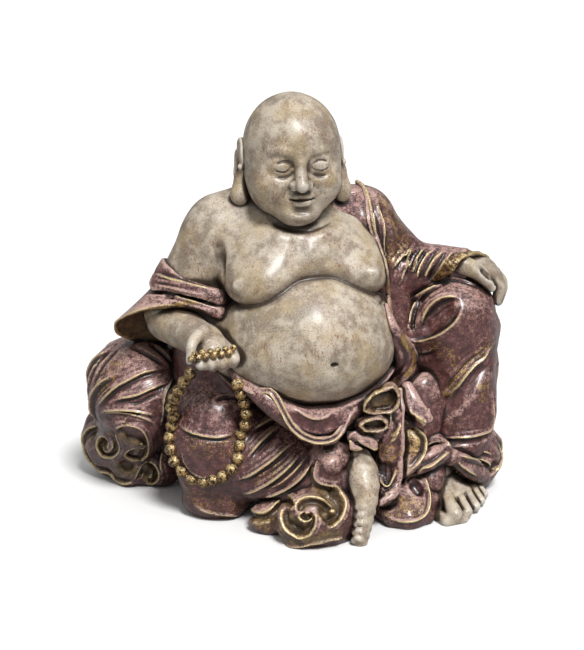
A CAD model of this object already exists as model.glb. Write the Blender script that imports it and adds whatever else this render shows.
"""A laughing buddha statue in painted cold-cast resin, sculpted over its CAD frame.

Each piece is modelled as clay: a field that holds the distance to the surface on a fine grid.
Forms are added and cut with soft joints, folds and creases are drawn on the surface along paths,
and the surface is then skinned with a mesh. What the paint does - gilding, brocade, dark wash in
the hollows, wear on the ridges - is kept on the mesh as attributes that the materials read.

Sculpting is in millimetres, in the figure's own frame: it faces -Y, +Z is up, and its zero stands
on the ground between the legs. "Right" and "left" are the figure's own.
"""

import math

import bpy
import numpy as np
from mathutils import Euler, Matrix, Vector


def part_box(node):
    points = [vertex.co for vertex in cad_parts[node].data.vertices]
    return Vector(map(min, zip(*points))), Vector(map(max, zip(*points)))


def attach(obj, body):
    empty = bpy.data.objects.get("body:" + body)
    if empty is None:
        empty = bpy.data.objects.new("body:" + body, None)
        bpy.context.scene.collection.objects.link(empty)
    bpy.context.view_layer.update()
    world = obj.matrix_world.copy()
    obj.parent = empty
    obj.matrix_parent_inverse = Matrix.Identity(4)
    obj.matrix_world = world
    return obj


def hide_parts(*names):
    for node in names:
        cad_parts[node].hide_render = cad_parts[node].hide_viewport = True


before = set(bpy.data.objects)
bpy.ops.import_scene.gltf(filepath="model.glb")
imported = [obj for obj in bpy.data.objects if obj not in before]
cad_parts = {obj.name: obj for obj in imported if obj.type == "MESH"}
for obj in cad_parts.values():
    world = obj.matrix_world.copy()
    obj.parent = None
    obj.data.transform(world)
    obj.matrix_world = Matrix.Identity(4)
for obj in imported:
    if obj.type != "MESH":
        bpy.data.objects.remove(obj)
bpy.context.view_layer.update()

MM = 0.001
FIGURE_ZERO = np.array([-9.307, 8.464, 0.0])  # the figure's zero in the row frame

# Fineness of the clay, as the length of a grid cell
FINE = 0.7
MEDIUM = 0.78
BROAD = 1.0
COARSE = 1.3
REACH = 7.0  # the field is true this far from the surface
STROKE_REACH = 3.0  # and this far from a small form
STROKE_SPACING = 1.6
RIPPLE = 0.15  # the fine lines beside a fold, as a share of its height
RIPPLE_LENGTH = 2.9
FAR = 1e4

# The camera, which is also the eye that paths in the photograph are seen by
IMAGE_SIZE = (584, 650)
CAMERA_AZIMUTH = -17.0
CAMERA_ELEVATION = 20.0
CAMERA_DISTANCE = 1300.0
CAMERA_FOCAL = 2184.0  # in pixels
CAMERA_AIM = (0.0, 0.0, 110.0)
CAMERA_AIM_PIXEL = (288.0, 318.0)
SENSOR = 36.0


def unit(vectors):
    vectors = np.asarray(vectors, float)
    lengths = np.linalg.norm(vectors, axis=-1, keepdims=True)
    return vectors / np.maximum(lengths, 1e-9)


def towards(azimuth, elevation):
    """The way to something around the figure, in degrees; azimuth 0 is in front of it."""
    azimuth, elevation = math.radians(azimuth), math.radians(elevation)
    level = math.cos(elevation)
    return np.array([math.sin(azimuth) * level, -math.cos(azimuth) * level, math.sin(elevation)])


# Eyes: each gives the sight line through a point of its picture
class PhotoEye:
    """The camera: points are pixels of the photograph."""

    def __init__(self):
        azimuth = math.radians(CAMERA_AZIMUTH)
        self.back = towards(CAMERA_AZIMUTH, CAMERA_ELEVATION)
        self.right = np.array([math.cos(azimuth), math.sin(azimuth), 0.0])
        self.up = np.cross(self.back, self.right)
        self.place = np.array(CAMERA_AIM) + self.back * CAMERA_DISTANCE
        self.scale = CAMERA_FOCAL / CAMERA_DISTANCE  # pixels to a millimetre, at the aim

    def sight(self, points):
        points = np.asarray(points, float)
        across = (points[:, 0] - CAMERA_AIM_PIXEL[0]) / CAMERA_FOCAL
        down = (points[:, 1] - CAMERA_AIM_PIXEL[1]) / CAMERA_FOCAL
        rays = -self.back + across[:, None] * self.right - down[:, None] * self.up
        return np.repeat(self.place[None], len(points), 0), unit(rays)

    def at(self, x, y, axis, value):
        """The point behind a pixel where one of the figure's axes has this value."""
        starts, rays = self.sight([(x, y)])
        return starts[0] + rays[0] * (value - starts[0][axis]) / rays[0][axis]


class FlatEye:
    """A view with no perspective: points are millimetres along two axes of the figure."""

    def __init__(self, across, up, looking):
        self.across = np.array(across, float)
        self.up = np.array(up, float)
        self.looking = np.array(looking, float)
        self.scale = 1.0

    def sight(self, points):
        points = np.asarray(points, float)
        starts = points[:, :1] * self.across + points[:, 1:] * self.up - self.looking * 400
        return starts, np.repeat(self.looking[None], len(points), 0)


PHOTO = PhotoEye()
FRONT = FlatEye((1, 0, 0), (0, 0, 1), (0, 1, 0))
BACK = FlatEye((1, 0, 0), (0, 0, 1), (0, -1, 0))
RIGHT_SIDE = FlatEye((0, 1, 0), (0, 0, 1), (1, 0, 0))
LEFT_SIDE = FlatEye((0, 1, 0), (0, 0, 1), (-1, 0, 0))


def deep(x, y, depth):
    """The point behind a pixel at a depth: the figure's y."""
    return PHOTO.at(x, y, 1, depth)


def high(x, y, height):
    """The point behind a pixel at a height over the ground."""
    return PHOTO.at(x, y, 2, height)


# Forms: a box that holds the form, and the distance to its surface
class Form:
    def __init__(self, low, high, distance):
        self.low = np.asarray(low, float)
        self.high = np.asarray(high, float)
        self.distance = distance


def oval(parts, radii):
    """The distance to an oval surface, from the offsets along its axes."""
    near = np.sqrt(sum((q / r) ** 2 for q, r in zip(parts, radii)))
    far = sum((q / r**2) ** 2 for q, r in zip(parts, radii))
    return near * (near - 1) / (np.sqrt(far) + 1e-5)


def ellipsoid(centre, radii, turn=(0, 0, 0)):
    centre = np.array(centre, float)
    radii = np.array(radii, float)
    axes = np.array(Euler([math.radians(t) for t in turn]).to_matrix()).T
    extent = np.sqrt(((axes * radii[:, None]) ** 2).sum(0))
    straight = not any(turn)

    def distance(x, y, z):
        offsets = (x - centre[0], y - centre[1], z - centre[2])
        if straight:
            return oval(offsets, radii)
        return oval([along(a, *offsets) for a in axes], radii)

    return Form(centre - extent, centre + extent, distance)


def along(axis, x, y, z):
    return axis[0] * x + axis[1] * y + axis[2] * z


def ball(centre, radius):
    return ellipsoid(centre, (radius, radius, radius))


def limb(start, end, start_radius, end_radius):
    start, end = np.array(start, float), np.array(end, float)
    way = end - start
    squared = max(float(way @ way), 1e-6)
    widest = max(start_radius, end_radius)

    def distance(x, y, z):
        x, y, z = x - start[0], y - start[1], z - start[2]
        share = np.clip(along(way, x, y, z) / squared, 0, 1)
        off = np.sqrt((x - share * way[0]) ** 2 + (y - share * way[1]) ** 2 + (z - share * way[2]) ** 2)
        return off - start_radius - share * (end_radius - start_radius)

    return Form(np.minimum(start, end) - widest, np.maximum(start, end) + widest, distance)


def strip(start, end, across, half_width, half_thickness):
    """A length of flat cloth edge: an oval section, wide along across."""
    start, end = np.array(start, float), np.array(end, float)
    length = max(float(np.linalg.norm(end - start)), 1e-6)
    way = (end - start) / length
    normal = unit(np.cross(way, across))
    across = np.cross(normal, way)
    widest = max(half_width, half_thickness)

    def distance(x, y, z):
        spot = (x - start[0], y - start[1], z - start[2])
        travelled = along(way, *spot)
        over = travelled - np.clip(travelled, 0, length)
        parts = (along(across, *spot), along(normal, *spot), over)
        return oval(parts, (half_width, half_thickness, half_thickness))

    return Form(np.minimum(start, end) - widest, np.maximum(start, end) + widest, distance)


def beyond(point, normal):
    """Everything on the far side of a plane."""
    point, normal = np.array(point, float), unit(normal)

    def distance(x, y, z):
        return -along(normal, x - point[0], y - point[1], z - point[2])

    return Form((-FAR,) * 3, (FAR,) * 3, distance)


def slab(point, normal, half):
    """A sheet of space on both sides of a plane."""
    plane = beyond(point, normal)
    return Form(plane.low, plane.high, lambda x, y, z: np.abs(plane.distance(x, y, z)) - half)


def both(one, other):
    """The space that two forms share."""

    def distance(x, y, z):
        return np.maximum(one.distance(x, y, z), other.distance(x, y, z))

    return Form(np.maximum(one.low, other.low), np.minimum(one.high, other.high), distance)


def tube(points, radii):
    """Round lengths that join a list of points."""
    points = np.asarray(points, float)
    radii = np.broadcast_to(radii, len(points))
    return [limb(a, b, r, s) for a, b, r, s in zip(points, points[1:], radii, radii[1:])]


def ribbon(points, across, half_widths, half_thickness):
    """Flat lengths that join a list of points."""
    across = np.broadcast_to(across, points.shape)
    half_widths = np.broadcast_to(half_widths, len(points))
    rows = zip(points, points[1:], across, half_widths)
    return [strip(a, b, side, width, half_thickness) for a, b, side, width in rows]


def smooth_path(points, spacing):
    """A Catmull-Rom curve through the points, with a point at about every spacing."""
    points = np.asarray(points, float)
    ends = [2 * points[0] - points[1], *points, 2 * points[-1] - points[-2]]
    made = []
    for a, b, c, d in zip(ends, ends[1:], ends[2:], ends[3:]):
        steps = max(1, int(round(np.linalg.norm(c - b) / spacing)))
        square, cube = 2 * a - 5 * b + 4 * c - d, 3 * b - a - 3 * c + d
        for t in np.arange(steps) / steps:
            made.append(0.5 * (2 * b + (c - a) * t + square * t**2 + cube * t**3))
    made.append(points[-1])
    return np.array(made)


def shifted(path, offset):
    """A path moved sideways, to its right as it is walked with the second axis down."""
    path = smooth_path(path, 3.0)
    way = unit(np.gradient(path, axis=0))
    return path + np.stack([-way[:, 1], way[:, 0]], -1) * offset


def graded(values, count):
    """Values given at even steps along a curve, spread over its points."""
    values = np.atleast_1d(values).astype(float)
    return np.interp(np.linspace(0, 1, count), np.linspace(0, 1, len(values)), values)


def course(line, spacing=1.6):
    """A smooth curve in space behind pixels of the photograph: x, y and depth of each point."""
    return smooth_path([deep(*p) for p in line], spacing)


def rope(line, radii, spacing=1.6):
    """A round length along a course."""
    points = course(line, spacing)
    return tube(points, graded(radii, len(points)))


def band(line, half_widths, half_thickness):
    """A flat length along a course, seen at its full width."""
    points = course(line)
    return ribbon(points, PHOTO.right, graded(half_widths, len(points)), half_thickness)


def posts(line):
    """Points behind pixels of the photograph: x, y and height of each."""
    return [high(*p) for p in line]


def eased(count, share=0.25):
    """1 along a stroke, falling softly to 0 at its ends."""
    t = np.linspace(0, 1, count)
    edge = np.clip(np.minimum(t, 1 - t) / share, 0, 1)
    return edge * edge * (3 - 2 * edge)


def smooth_min(a, b, blend):
    if blend <= 0:
        return np.minimum(a, b)
    near = np.maximum(blend - np.abs(a - b), 0) / blend
    return np.minimum(a, b) - near * near * (blend * 0.25)


def bell(offset, width, power=2):
    """1 at no offset, falling off at about this width."""
    return np.exp(-((offset / width) ** power))


def block(start, stop):
    """The part of a grid between two corners."""
    return tuple(slice(p, q) for p, q in zip(start, stop))


CORNERS = [(i, j, k) for i in (0, 1) for j in (0, 1) for k in (0, 1)]
EDGES = [(a, b) for a in range(8) for b in range(a + 1, 8)
         if sum(abs(p - q) for p, q in zip(CORNERS[a], CORNERS[b])) == 1]


class Clay:
    def __init__(self, low, high, cell):
        self.cell = cell * 1
        self.low = np.asarray(low, float)
        self.counts = np.ceil((np.asarray(high, float) - self.low) / self.cell).astype(int) + 1
        self.field = np.full(self.counts, REACH, np.float32)
        self.layers = {}
        self.turn = np.eye(3)
        self.pivot = np.zeros(3)

    def window(self, low, high):
        start = np.clip(np.floor((low - self.low) / self.cell), 0, self.counts).astype(int)
        stop = np.clip(np.ceil((high - self.low) / self.cell) + 1, 0, self.counts).astype(int)
        return start, stop

    def axes(self, start, stop):
        x, y, z = (
            (self.low[i] + self.cell * np.arange(start[i], stop[i])).astype(np.float32) for i in range(3)
        )
        return x[:, None, None], y[None, :, None], z[None, None, :]

    def united(self, forms, margin):
        """The distance to several forms together, worked out only near each one."""
        low = np.min([f.low for f in forms], axis=0) - margin
        high = np.max([f.high for f in forms], axis=0) + margin
        start, stop = self.window(low, high)
        if (stop <= start).any():
            return None, None
        together = np.full(stop - start, 2 * REACH + margin, np.float32)
        for form in forms:
            a, b = self.window(form.low - margin, form.high + margin)
            if (b <= a).any():
                continue
            part = block(a - start, b - start)
            together[part] = np.minimum(together[part], form.distance(*self.axes(a, b)))
        return block(start, stop), together

    def add(self, forms, blend=0.0, margin=REACH, sign=1):
        """Adds forms with a soft joint, or takes them away where sign is -1."""
        forms = forms if isinstance(forms, list) else [forms]
        where, distance = self.united(forms, margin + blend)
        if where is not None:
            self.field[where] = sign * smooth_min(sign * self.field[where], distance, blend)

    def cut(self, forms, blend=0.0):
        self.add(forms, blend, REACH, -1)

    def touch(self, forms, blend=0.0):
        """Adds small forms."""
        self.add(forms, blend, STROKE_REACH)

    def nick(self, forms, blend=0.0):
        """Takes small forms away."""
        self.add(forms, blend, STROKE_REACH, -1)

    def paint(self, layer, forms, strength=1.0, fade=1.0):
        """Marks a layer of paint where the forms are, fading out around them."""
        forms = forms if isinstance(forms, list) else [forms]
        where, distance = self.united(forms, fade + self.cell)
        if where is not None:
            mark = strength * np.clip(1 - distance / fade, 0, 1)
            self.layer(layer)[where] = np.maximum(self.layer(layer)[where], mark)

    def roughen(self, amplitude, wavelength, seed):
        """The small unevenness of something modelled by hand."""
        where = np.nonzero(np.abs(self.field) < REACH * 0.6)
        points = np.stack(where, -1) * self.cell + self.low
        self.field[where] += (amplitude * waves(points, wavelength, seed)).astype(np.float32)

    def inward(self, points):
        return (points - self.pivot) @ self.turn + self.pivot

    def outward(self, points):
        return (points - self.pivot) @ self.turn.T + self.pivot

    def sample(self, points, grid=None):
        """The field, or a layer of paint, at points of the clay's own frame."""
        field = (self.field if grid is None else grid).ravel()
        spot = (points - self.low) / self.cell
        held = np.clip(spot, 0, self.counts - 1.001)
        base = held.astype(np.int64)
        x, y, z = (held - base).T
        step_x, step_y = int(self.counts[1] * self.counts[2]), int(self.counts[2])
        first = base[:, 0] * step_x + base[:, 1] * step_y + base[:, 2]

        def along_z(start):
            return field[start] * (1 - z) + field[start + 1] * z

        def along_y(start):
            return along_z(start) * (1 - y) + along_z(start + step_y) * y

        found = along_y(first) * (1 - x) + along_y(first + step_x) * x
        if grid is None:
            found = found + np.linalg.norm(spot - held, axis=1) * self.cell
        return found

    def normals(self, points):
        return normals_of(self.sample, points, self.cell * 0.8)

    def span(self):
        return self.low, self.low + self.cell * (self.counts - 1)

    def trace(self, path, eye=PHOTO):
        return Stroke(eye, path, [self])

    def ridge(self, path, radius, rise, blend, taper=0.25, eye=PHOTO, outwards=1):
        """A raised line along a path, or a groove where outwards is -1."""
        stroke = self.trace(path, eye)
        ease = eased(len(stroke.points), taper)[:, None]
        lift = rise * ease - radius - (1 - ease) * blend * 0.3
        line = tube(stroke.points + stroke.normals * lift * outwards, radius)
        self.add(line, blend, STROKE_REACH, outwards)

    def crease(self, path, radius, depth, blend, taper=0.25, eye=PHOTO):
        """A groove along a path."""
        self.ridge(path, radius, depth, blend, taper, eye, -1)

    def fold(self, path, radius, rise, under=0, depth=1.6, gold=0.0, eye=PHOTO):
        """A fold of cloth: it swells to a crest along the path and falls away sharply on one side."""
        self.drape(self.trace(path, eye), rise * 1.3, radius * 1.8, under, hollow=depth * 0.65, gold=gold)

    def folds(self, paths, *shape, eye=PHOTO):
        """Folds that are shaped alike."""
        for path in paths:
            self.fold(path, *shape, eye=eye)

    def varied_folds(self, rows, depth):
        """Folds that each have their own path, radius, rise, hollow side and gilding."""
        for path, radius, rise, under, gold in rows:
            self.fold(path, radius, rise, under, depth, gold)

    def drape(self, stroke, height, width, under=1, drop=1.0, hollow=0.8, gold=0.0, lining=0.0, taper=0.3):
        """Moves the surface out to a crest along a stroke, and down into a hollow beyond it.

        The hollow is on the side that under gives; where under is 0 both sides slope alike.
        """
        start, stop = self.window(stroke.points.min(0) - 3 * width, stroke.points.max(0) + 3 * width)
        where = block(start, stop)
        near = np.nonzero(np.abs(self.field[where]) < 5.0)
        spots = (np.stack(near, -1) + start) * self.cell + self.low
        if not len(spots):
            return
        side, past, index = stroke.lateral(spots)
        ease = eased(len(stroke.points), taper)[index] * bell(past, width)
        if under:
            side = side * -under
            crest = 0.5 * bell(side, 0.35 * width) + 0.5 * bell(side, 1.25 * width)
            steep = np.clip(1 + side / drop, 0, 1)
            profile = np.where(side > 0, crest, steep * steep * (3 - 2 * steep))
            valley = bell(side + drop + 0.3 * width, 0.6 * width)
        else:
            profile = bell(side, 0.5 * width)
            valley = 0.0
        lines = RIPPLE * np.cos(side * 2 * math.pi / RIPPLE_LENGTH) * bell(side, 1.6 * width)
        moved_out = (height * profile - hollow * valley + height * lines) * ease
        self.field[where][near] -= moved_out.astype(np.float32)
        if gold:
            self.mark("gild", where, near, bell(side - 0.1, 0.62) * ease * gold * 1.3)
        if lining:
            bare = np.clip(-side / drop - 0.3, 0, 1)
            self.mark("lining", where, near, lining * ease * bare * bell(side, 2.0 * width, 4))

    def mark(self, name, where, near, amount):
        layer = self.layer(name)[where]
        layer[near] = np.maximum(layer[near], amount)

    def layer(self, name):
        if name not in self.layers:
            self.layers[name] = np.zeros(self.counts, np.float32)
        return self.layers[name]

    def streak(self, layer, path, radius, strength, fade):
        """A streak of paint along a path."""
        self.paint(layer, tube(self.trace(path).points, radius), strength, fade)

    def surface(self):
        """Surface nets: a vertex in each cell that the surface crosses, and a quad at each crossed edge."""
        field = self.field
        for axis in range(3):
            edge = np.moveaxis(field, axis, 0)
            edge[0] = np.maximum(edge[0], 0.05)
            edge[-1] = np.maximum(edge[-1], 0.05)
        inside = field < 0
        size = np.array(field.shape) - 1
        held = np.zeros(size, np.uint8)
        for corner in CORNERS:
            held += inside[block(corner, np.add(corner, size))]
        cells = np.stack(np.nonzero((held > 0) & (held < 8)), -1)
        values = [field[tuple((cells + corner).T)] for corner in CORNERS]
        total = np.zeros((len(cells), 3))
        hits = np.zeros(len(cells))
        for a, b in EDGES:
            crossed = (values[a] < 0) != (values[b] < 0)
            gap = np.where(crossed, values[a] - values[b], 1.0)
            share = np.where(crossed, values[a] / gap, 0.0)
            start, step = np.array(CORNERS[a]), np.subtract(CORNERS[b], CORNERS[a])
            total += crossed[:, None] * (start + share[:, None] * step)
            hits += crossed
        vertices = (cells + total / hits[:, None]) * self.cell + self.low
        number = np.full(size, -1, np.int32)
        number[tuple(cells.T)] = np.arange(len(cells))
        quads = []
        for axis in range(3):
            one, two = (axis + 1) % 3, (axis + 2) % 3
            lower = [slice(1, -1)] * 3
            upper = [slice(1, -1)] * 3
            lower[axis], upper[axis] = slice(None, -1), slice(1, None)
            first, second = inside[tuple(lower)], inside[tuple(upper)]
            crossed = np.stack(np.nonzero(first != second), -1)
            outwards = first[tuple(crossed.T)]
            crossed[:, one] += 1
            crossed[:, two] += 1
            around = []
            for back_one, back_two in ((1, 1), (0, 1), (0, 0), (1, 0)):
                cell = crossed.copy()
                cell[:, one] -= back_one
                cell[:, two] -= back_two
                around.append(number[tuple(cell.T)])
            around = np.stack(around, -1)
            around[~outwards] = around[~outwards][:, ::-1]
            quads.append(around)
        return self.settled(vertices), np.concatenate(quads)

    def settled(self, vertices):
        """Moves the vertices onto the surface."""
        for _ in range(2):
            value = self.sample(vertices)
            step = np.clip(value, -self.cell * 0.5, self.cell * 0.5)
            vertices = vertices - self.normals(vertices) * step[:, None]
        return vertices


def normals_of(sample, points, step):
    slopes = []
    for axis in range(3):
        offset = np.zeros(3)
        offset[axis] = step
        slopes.append(sample(points + offset) - sample(points - offset))
    return unit(np.stack(slopes, -1))


def waves(points, wavelength, seed):
    """Smooth noise: a sum of waves in random directions."""
    rng = np.random.default_rng(seed)
    total = np.zeros(len(points))
    for _ in range(6):
        direction = unit(rng.normal(size=3)) / (wavelength * rng.uniform(0.7, 1.5))
        total += np.sin(points @ direction * 2 * math.pi + rng.uniform(0, 6.28))
    return total / 3


class Stroke:
    """A path seen by an eye and laid on the first clay that its sight lines meet.

    Where it crosses a gap, bridging is how steeply it may fall away behind.
    """

    def __init__(self, eye, path, carriers, bridging=None):
        dense = smooth_path(path, STROKE_SPACING * eye.scale)
        starts, rays = eye.sight(dense)
        self.carriers = carriers
        travel = np.array([self.met(s, r) for s, r in zip(starts, rays)])
        if bridging is not None:
            step = bridging * STROKE_SPACING
            for i in range(1, len(travel)):
                travel[i] = min(travel[i], travel[i - 1] + step)
            for i in reversed(range(len(travel) - 1)):
                travel[i] = min(travel[i], travel[i + 1] + step)
        self.points = starts + travel[:, None] * rays
        for _ in range(2):
            middle = (self.points[:-2] + 2 * self.points[1:-1] + self.points[2:]) / 4
            self.points[1:-1] = middle
        self.normals = normals_of(self.sample, self.points, 1.2)

    def lateral(self, spots):
        """How far spots lie beside the stroke and past its ends, and its nearest point to each."""
        tangents = unit(np.gradient(self.points, axis=0))
        sideways = np.cross(tangents, self.normals)
        index = np.zeros(len(spots), int)
        for part in range(0, len(spots), 20000):
            some = spots[part:part + 20000]
            squared = (some**2).sum(1)[:, None] - 2 * some @ self.points.T + (self.points**2).sum(1)
            index[part:part + 20000] = squared.argmin(1)
        offset = spots - self.points[index]
        past = np.abs((offset * tangents[index]).sum(1))
        ends = (index == 0) | (index == len(self.points) - 1)
        return (offset * sideways[index]).sum(1), np.where(ends, past, 0.0), index

    def sample(self, points):
        return np.min([clay.sample(clay.inward(points)) for clay in self.carriers], axis=0)

    def met(self, start, ray):
        lows, highs = zip(*(clay.span() for clay in self.carriers))
        low, high = np.min(lows, axis=0) - 2, np.max(highs, axis=0) + 2
        with np.errstate(divide="ignore", invalid="ignore"):
            entries = np.sort(np.stack([(low - start) / ray, (high - start) / ray]), axis=0)
        near, far = np.nanmax(entries[0]), np.nanmin(entries[1])
        far = max(far, near + 1)
        ahead = np.arange(near, far, 0.8)
        values = self.sample(start + ahead[:, None] * ray)
        crossings = np.nonzero(values < 0)[0]
        if len(crossings) == 0 or crossings[0] == 0:
            return ahead[np.argmin(values)]
        i = crossings[0]
        share = values[i - 1] / (values[i - 1] - values[i])
        return ahead[i - 1] + share * (ahead[i] - ahead[i - 1])


# The skeleton: points that the limbs run between, as in the CAD frame
BELLY_CENTRE = (3, -27, 105)
BELLY_RADII = (53, 51, 36.5)
BELLY_TOP = (3, -25, 114)
BELLY_TOP_RADII = (49, 50, 40)
CHEST_CENTRE = (3, -13, 149)
CHEST_RADII = (49, 33, 33)
BACK_CENTRE = (2, 8, 88)
BACK_RADII = (62, 36, 88)
NECK = (0, -6, 180)
HEAD_CENTRE = (-1, -10, 219)
CRANIUM_RADII = (28, 30.5, 30.8)
JAW_RADII = (27.5, 26, 27)
RIGHT_SHOULDER = (-43, 4, 166)
RIGHT_ELBOW = (-70, 7, 120)
LEFT_SHOULDER = (45, 4, 165)
LEFT_ELBOW = (72, 6, 130)
LEFT_WRIST = (105, -14, 136)
LEFT_PALM = (114, -19, 134)
RIGHT_THIGH = (-86, 30, 64)
RIGHT_KNEE = (-50, -15, 49)
RIGHT_ANKLE = (10, -50, 26)
LEFT_KNEE = (98, -20, 106)
LEFT_ANKLE = (94, -38, 34)
SASH_KNOT = (47, -56, 66)
HEAD_TURN = 7.0  # degrees that the face looks towards its right


def moved(point, dx, dy, dz):
    return (point[0] + dx, point[1] + dy, point[2] + dz)


def grown(radii, by):
    return tuple(r + by for r in radii)


def between(a, b, share):
    return tuple(p + (q - p) * share for p, q in zip(a, b))


FLOOR = beyond((0, 0, 0.02), (0, 0, -1))


# The bare body
LEFT_BREAST_EDGE = [(386, 284), (384.5, 296), (379, 307)]
ARMPIT = [(216, 236), (220, 252), (222.5, 266), (223.5, 284)]
NIPPLES = [(237.5, 286), (374.6, 273)]
NAVEL = (335.5, 366)
NAVEL_GROOVE = [(337, 344), (336, 352), (335.5, 361)]
NECK_FOLD = [(268, 216), (280, 226), (302, 231), (324, 227), (338, 215)]
BREASTBONE = [(300, 238), (297, 255), (294, 272)]
RIGHT_COLLARBONE = [(250, 228), (268, 233), (286, 236)]
LEFT_COLLARBONE = [(318, 236), (336, 231), (352, 224)]
SPINE = [(8, 182), (4, 160), (-4, 140), (-12, 122)]
SHOULDER_BLADE = [(-18, 158), (-30, 152), (-38, 140), (-36, 128)]
GROOVE_DEPTH = 1.8  # of the crease where the belly meets the breasts
GROOVE_WIDTH = 2.4


def pinned(clay, pixel):
    """The point of the clay behind a pixel, and the way out of the clay there."""
    spot = clay.trace([pixel, (pixel[0] + 1, pixel[1])])
    return spot.points[0], spot.normals[0]


def body():
    clay = Clay((-92, -84, 40), (74, 48, 206), BROAD)
    clay.add(ellipsoid(BACK_CENTRE, BACK_RADII))
    clay.add(ellipsoid(CHEST_CENTRE, CHEST_RADII), 8)
    for shoulder, radius in ((RIGHT_SHOULDER, 18.5), (LEFT_SHOULDER, 17)):
        clay.add(limb(moved(NECK, 0, 0, -14), shoulder, 20, radius), 8)
    clay.add(limb((-12, 6, 180), (-39, 8, 171), 16, 16.5), 8)
    clay.add(limb(NECK, moved(NECK, 0, -3, 22), 20, 19), 7)
    clay.add(limb(moved(RIGHT_SHOULDER, -3, 1, -8), RIGHT_ELBOW, 19, 16), 6)
    for side in (-1, 1):
        breast = moved(CHEST_CENTRE, side * 27, -17, -5)
        clay.add(ellipsoid(breast, (20, 19, 17), (0, 0, side * 22)), 9)
    belly = Clay(clay.low, clay.span()[1], BROAD)
    belly.add(ellipsoid(BELLY_CENTRE, BELLY_RADII))
    belly.add(ellipsoid(BELLY_TOP, BELLY_TOP_RADII), 8)
    groove = GROOVE_DEPTH * np.exp(-(clay.field**2 + belly.field**2) / GROOVE_WIDTH**2)
    clay.field = np.minimum(clay.field, belly.field) + groove
    clay.add(limb((-42, 0, 112), (-40, -2, 84), 24, 26), 8)
    clay.crease(LEFT_BREAST_EDGE, 1.5, 1.2, 2.0)
    clay.crease(ARMPIT, 2.2, 2.4, 3.0)
    clay.crease(NECK_FOLD, 1.2, 0.8, 2.0)
    clay.crease(BREASTBONE, 5.0, 0.8, 4.0)
    for bone in (RIGHT_COLLARBONE, LEFT_COLLARBONE):
        clay.ridge(bone, 3.5, 0.5, 4.0)
    clay.crease(SPINE, 4.0, 1.6, 4.0, eye=BACK)
    clay.ridge(SHOULDER_BLADE, 5.0, 1.2, 5.0, eye=BACK)
    for nipple in NIPPLES:
        spot, out = pinned(clay, nipple)
        clay.touch(ball(spot - out * 2.2, 4.6), 2.0)
        clay.touch(ball(spot + out * 0.4, 2.2), 1.0)
    navel, out = pinned(clay, NAVEL)
    clay.nick(ball(navel + out * 6.2, 7.4), 4.0)
    clay.crease(NAVEL_GROOVE, 1.6, 0.7, 2.0)
    clay.nick(ellipsoid(navel, (2.8, 4.5, 1.3)), 1.2)
    clay.paint("wash", ellipsoid(navel, (2.2, 5, 0.9)), 0.9, 0.9)
    return clay


# The head, in its own frame: it looks along -Y, and is turned at the end
EYE_OUT = 10.8
EYE_HEIGHT = 214.5
BROW = [(4.5, 220.5), (9, 223.2), (14.5, 223.4), (20, 220.5)]
LID_FOLD = [(5.0, 215.2), (8, 217.6), (12, 218.0), (16.5, 215.6)]
LID_LINE = [(4.6, 213.6), (8, 211.9), (12, 211.4), (16.8, 213.4)]
LOWER_LID = [(6.0, 210.6), (10, 208.4), (14.5, 209.2)]
CHEEK_FOLD = [(6.6, 204.2), (9.8, 200.6), (11.6, 196.4)]
UPPER_LIP = [
    (-8.2, 196.2), (-4.4, 197.0), (-1.7, 197.8), (0, 197.2), (1.7, 197.8), (4.4, 197.0), (8.2, 196.2),
]
LOWER_LIP = [(-6.6, 194.2), (-3, 192.7), (0, 192.3), (3, 192.7), (6.6, 194.2)]
MOUTH_LINE = [
    (-9.6, 196.6), (-6, 195.1), (-2.4, 195.1), (0, 194.7), (2.4, 195.1), (6, 195.1), (9.6, 196.6),
]
CHIN_FOLD = [(-5, 188.6), (0, 187.8), (5, 188.6)]
UNDER_CHIN = [(-17, 183), (-9, 178.6), (0, 177.4), (9, 178.6), (17, 183)]
LIP_GROOVE = [(0, 200.8), (0, 199.0)]
FACE_FRONT = HEAD_CENTRE[1] - CRANIUM_RADII[1]


def mirrored(path, side):
    return [(side * x, z) for x, z in path]


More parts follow.
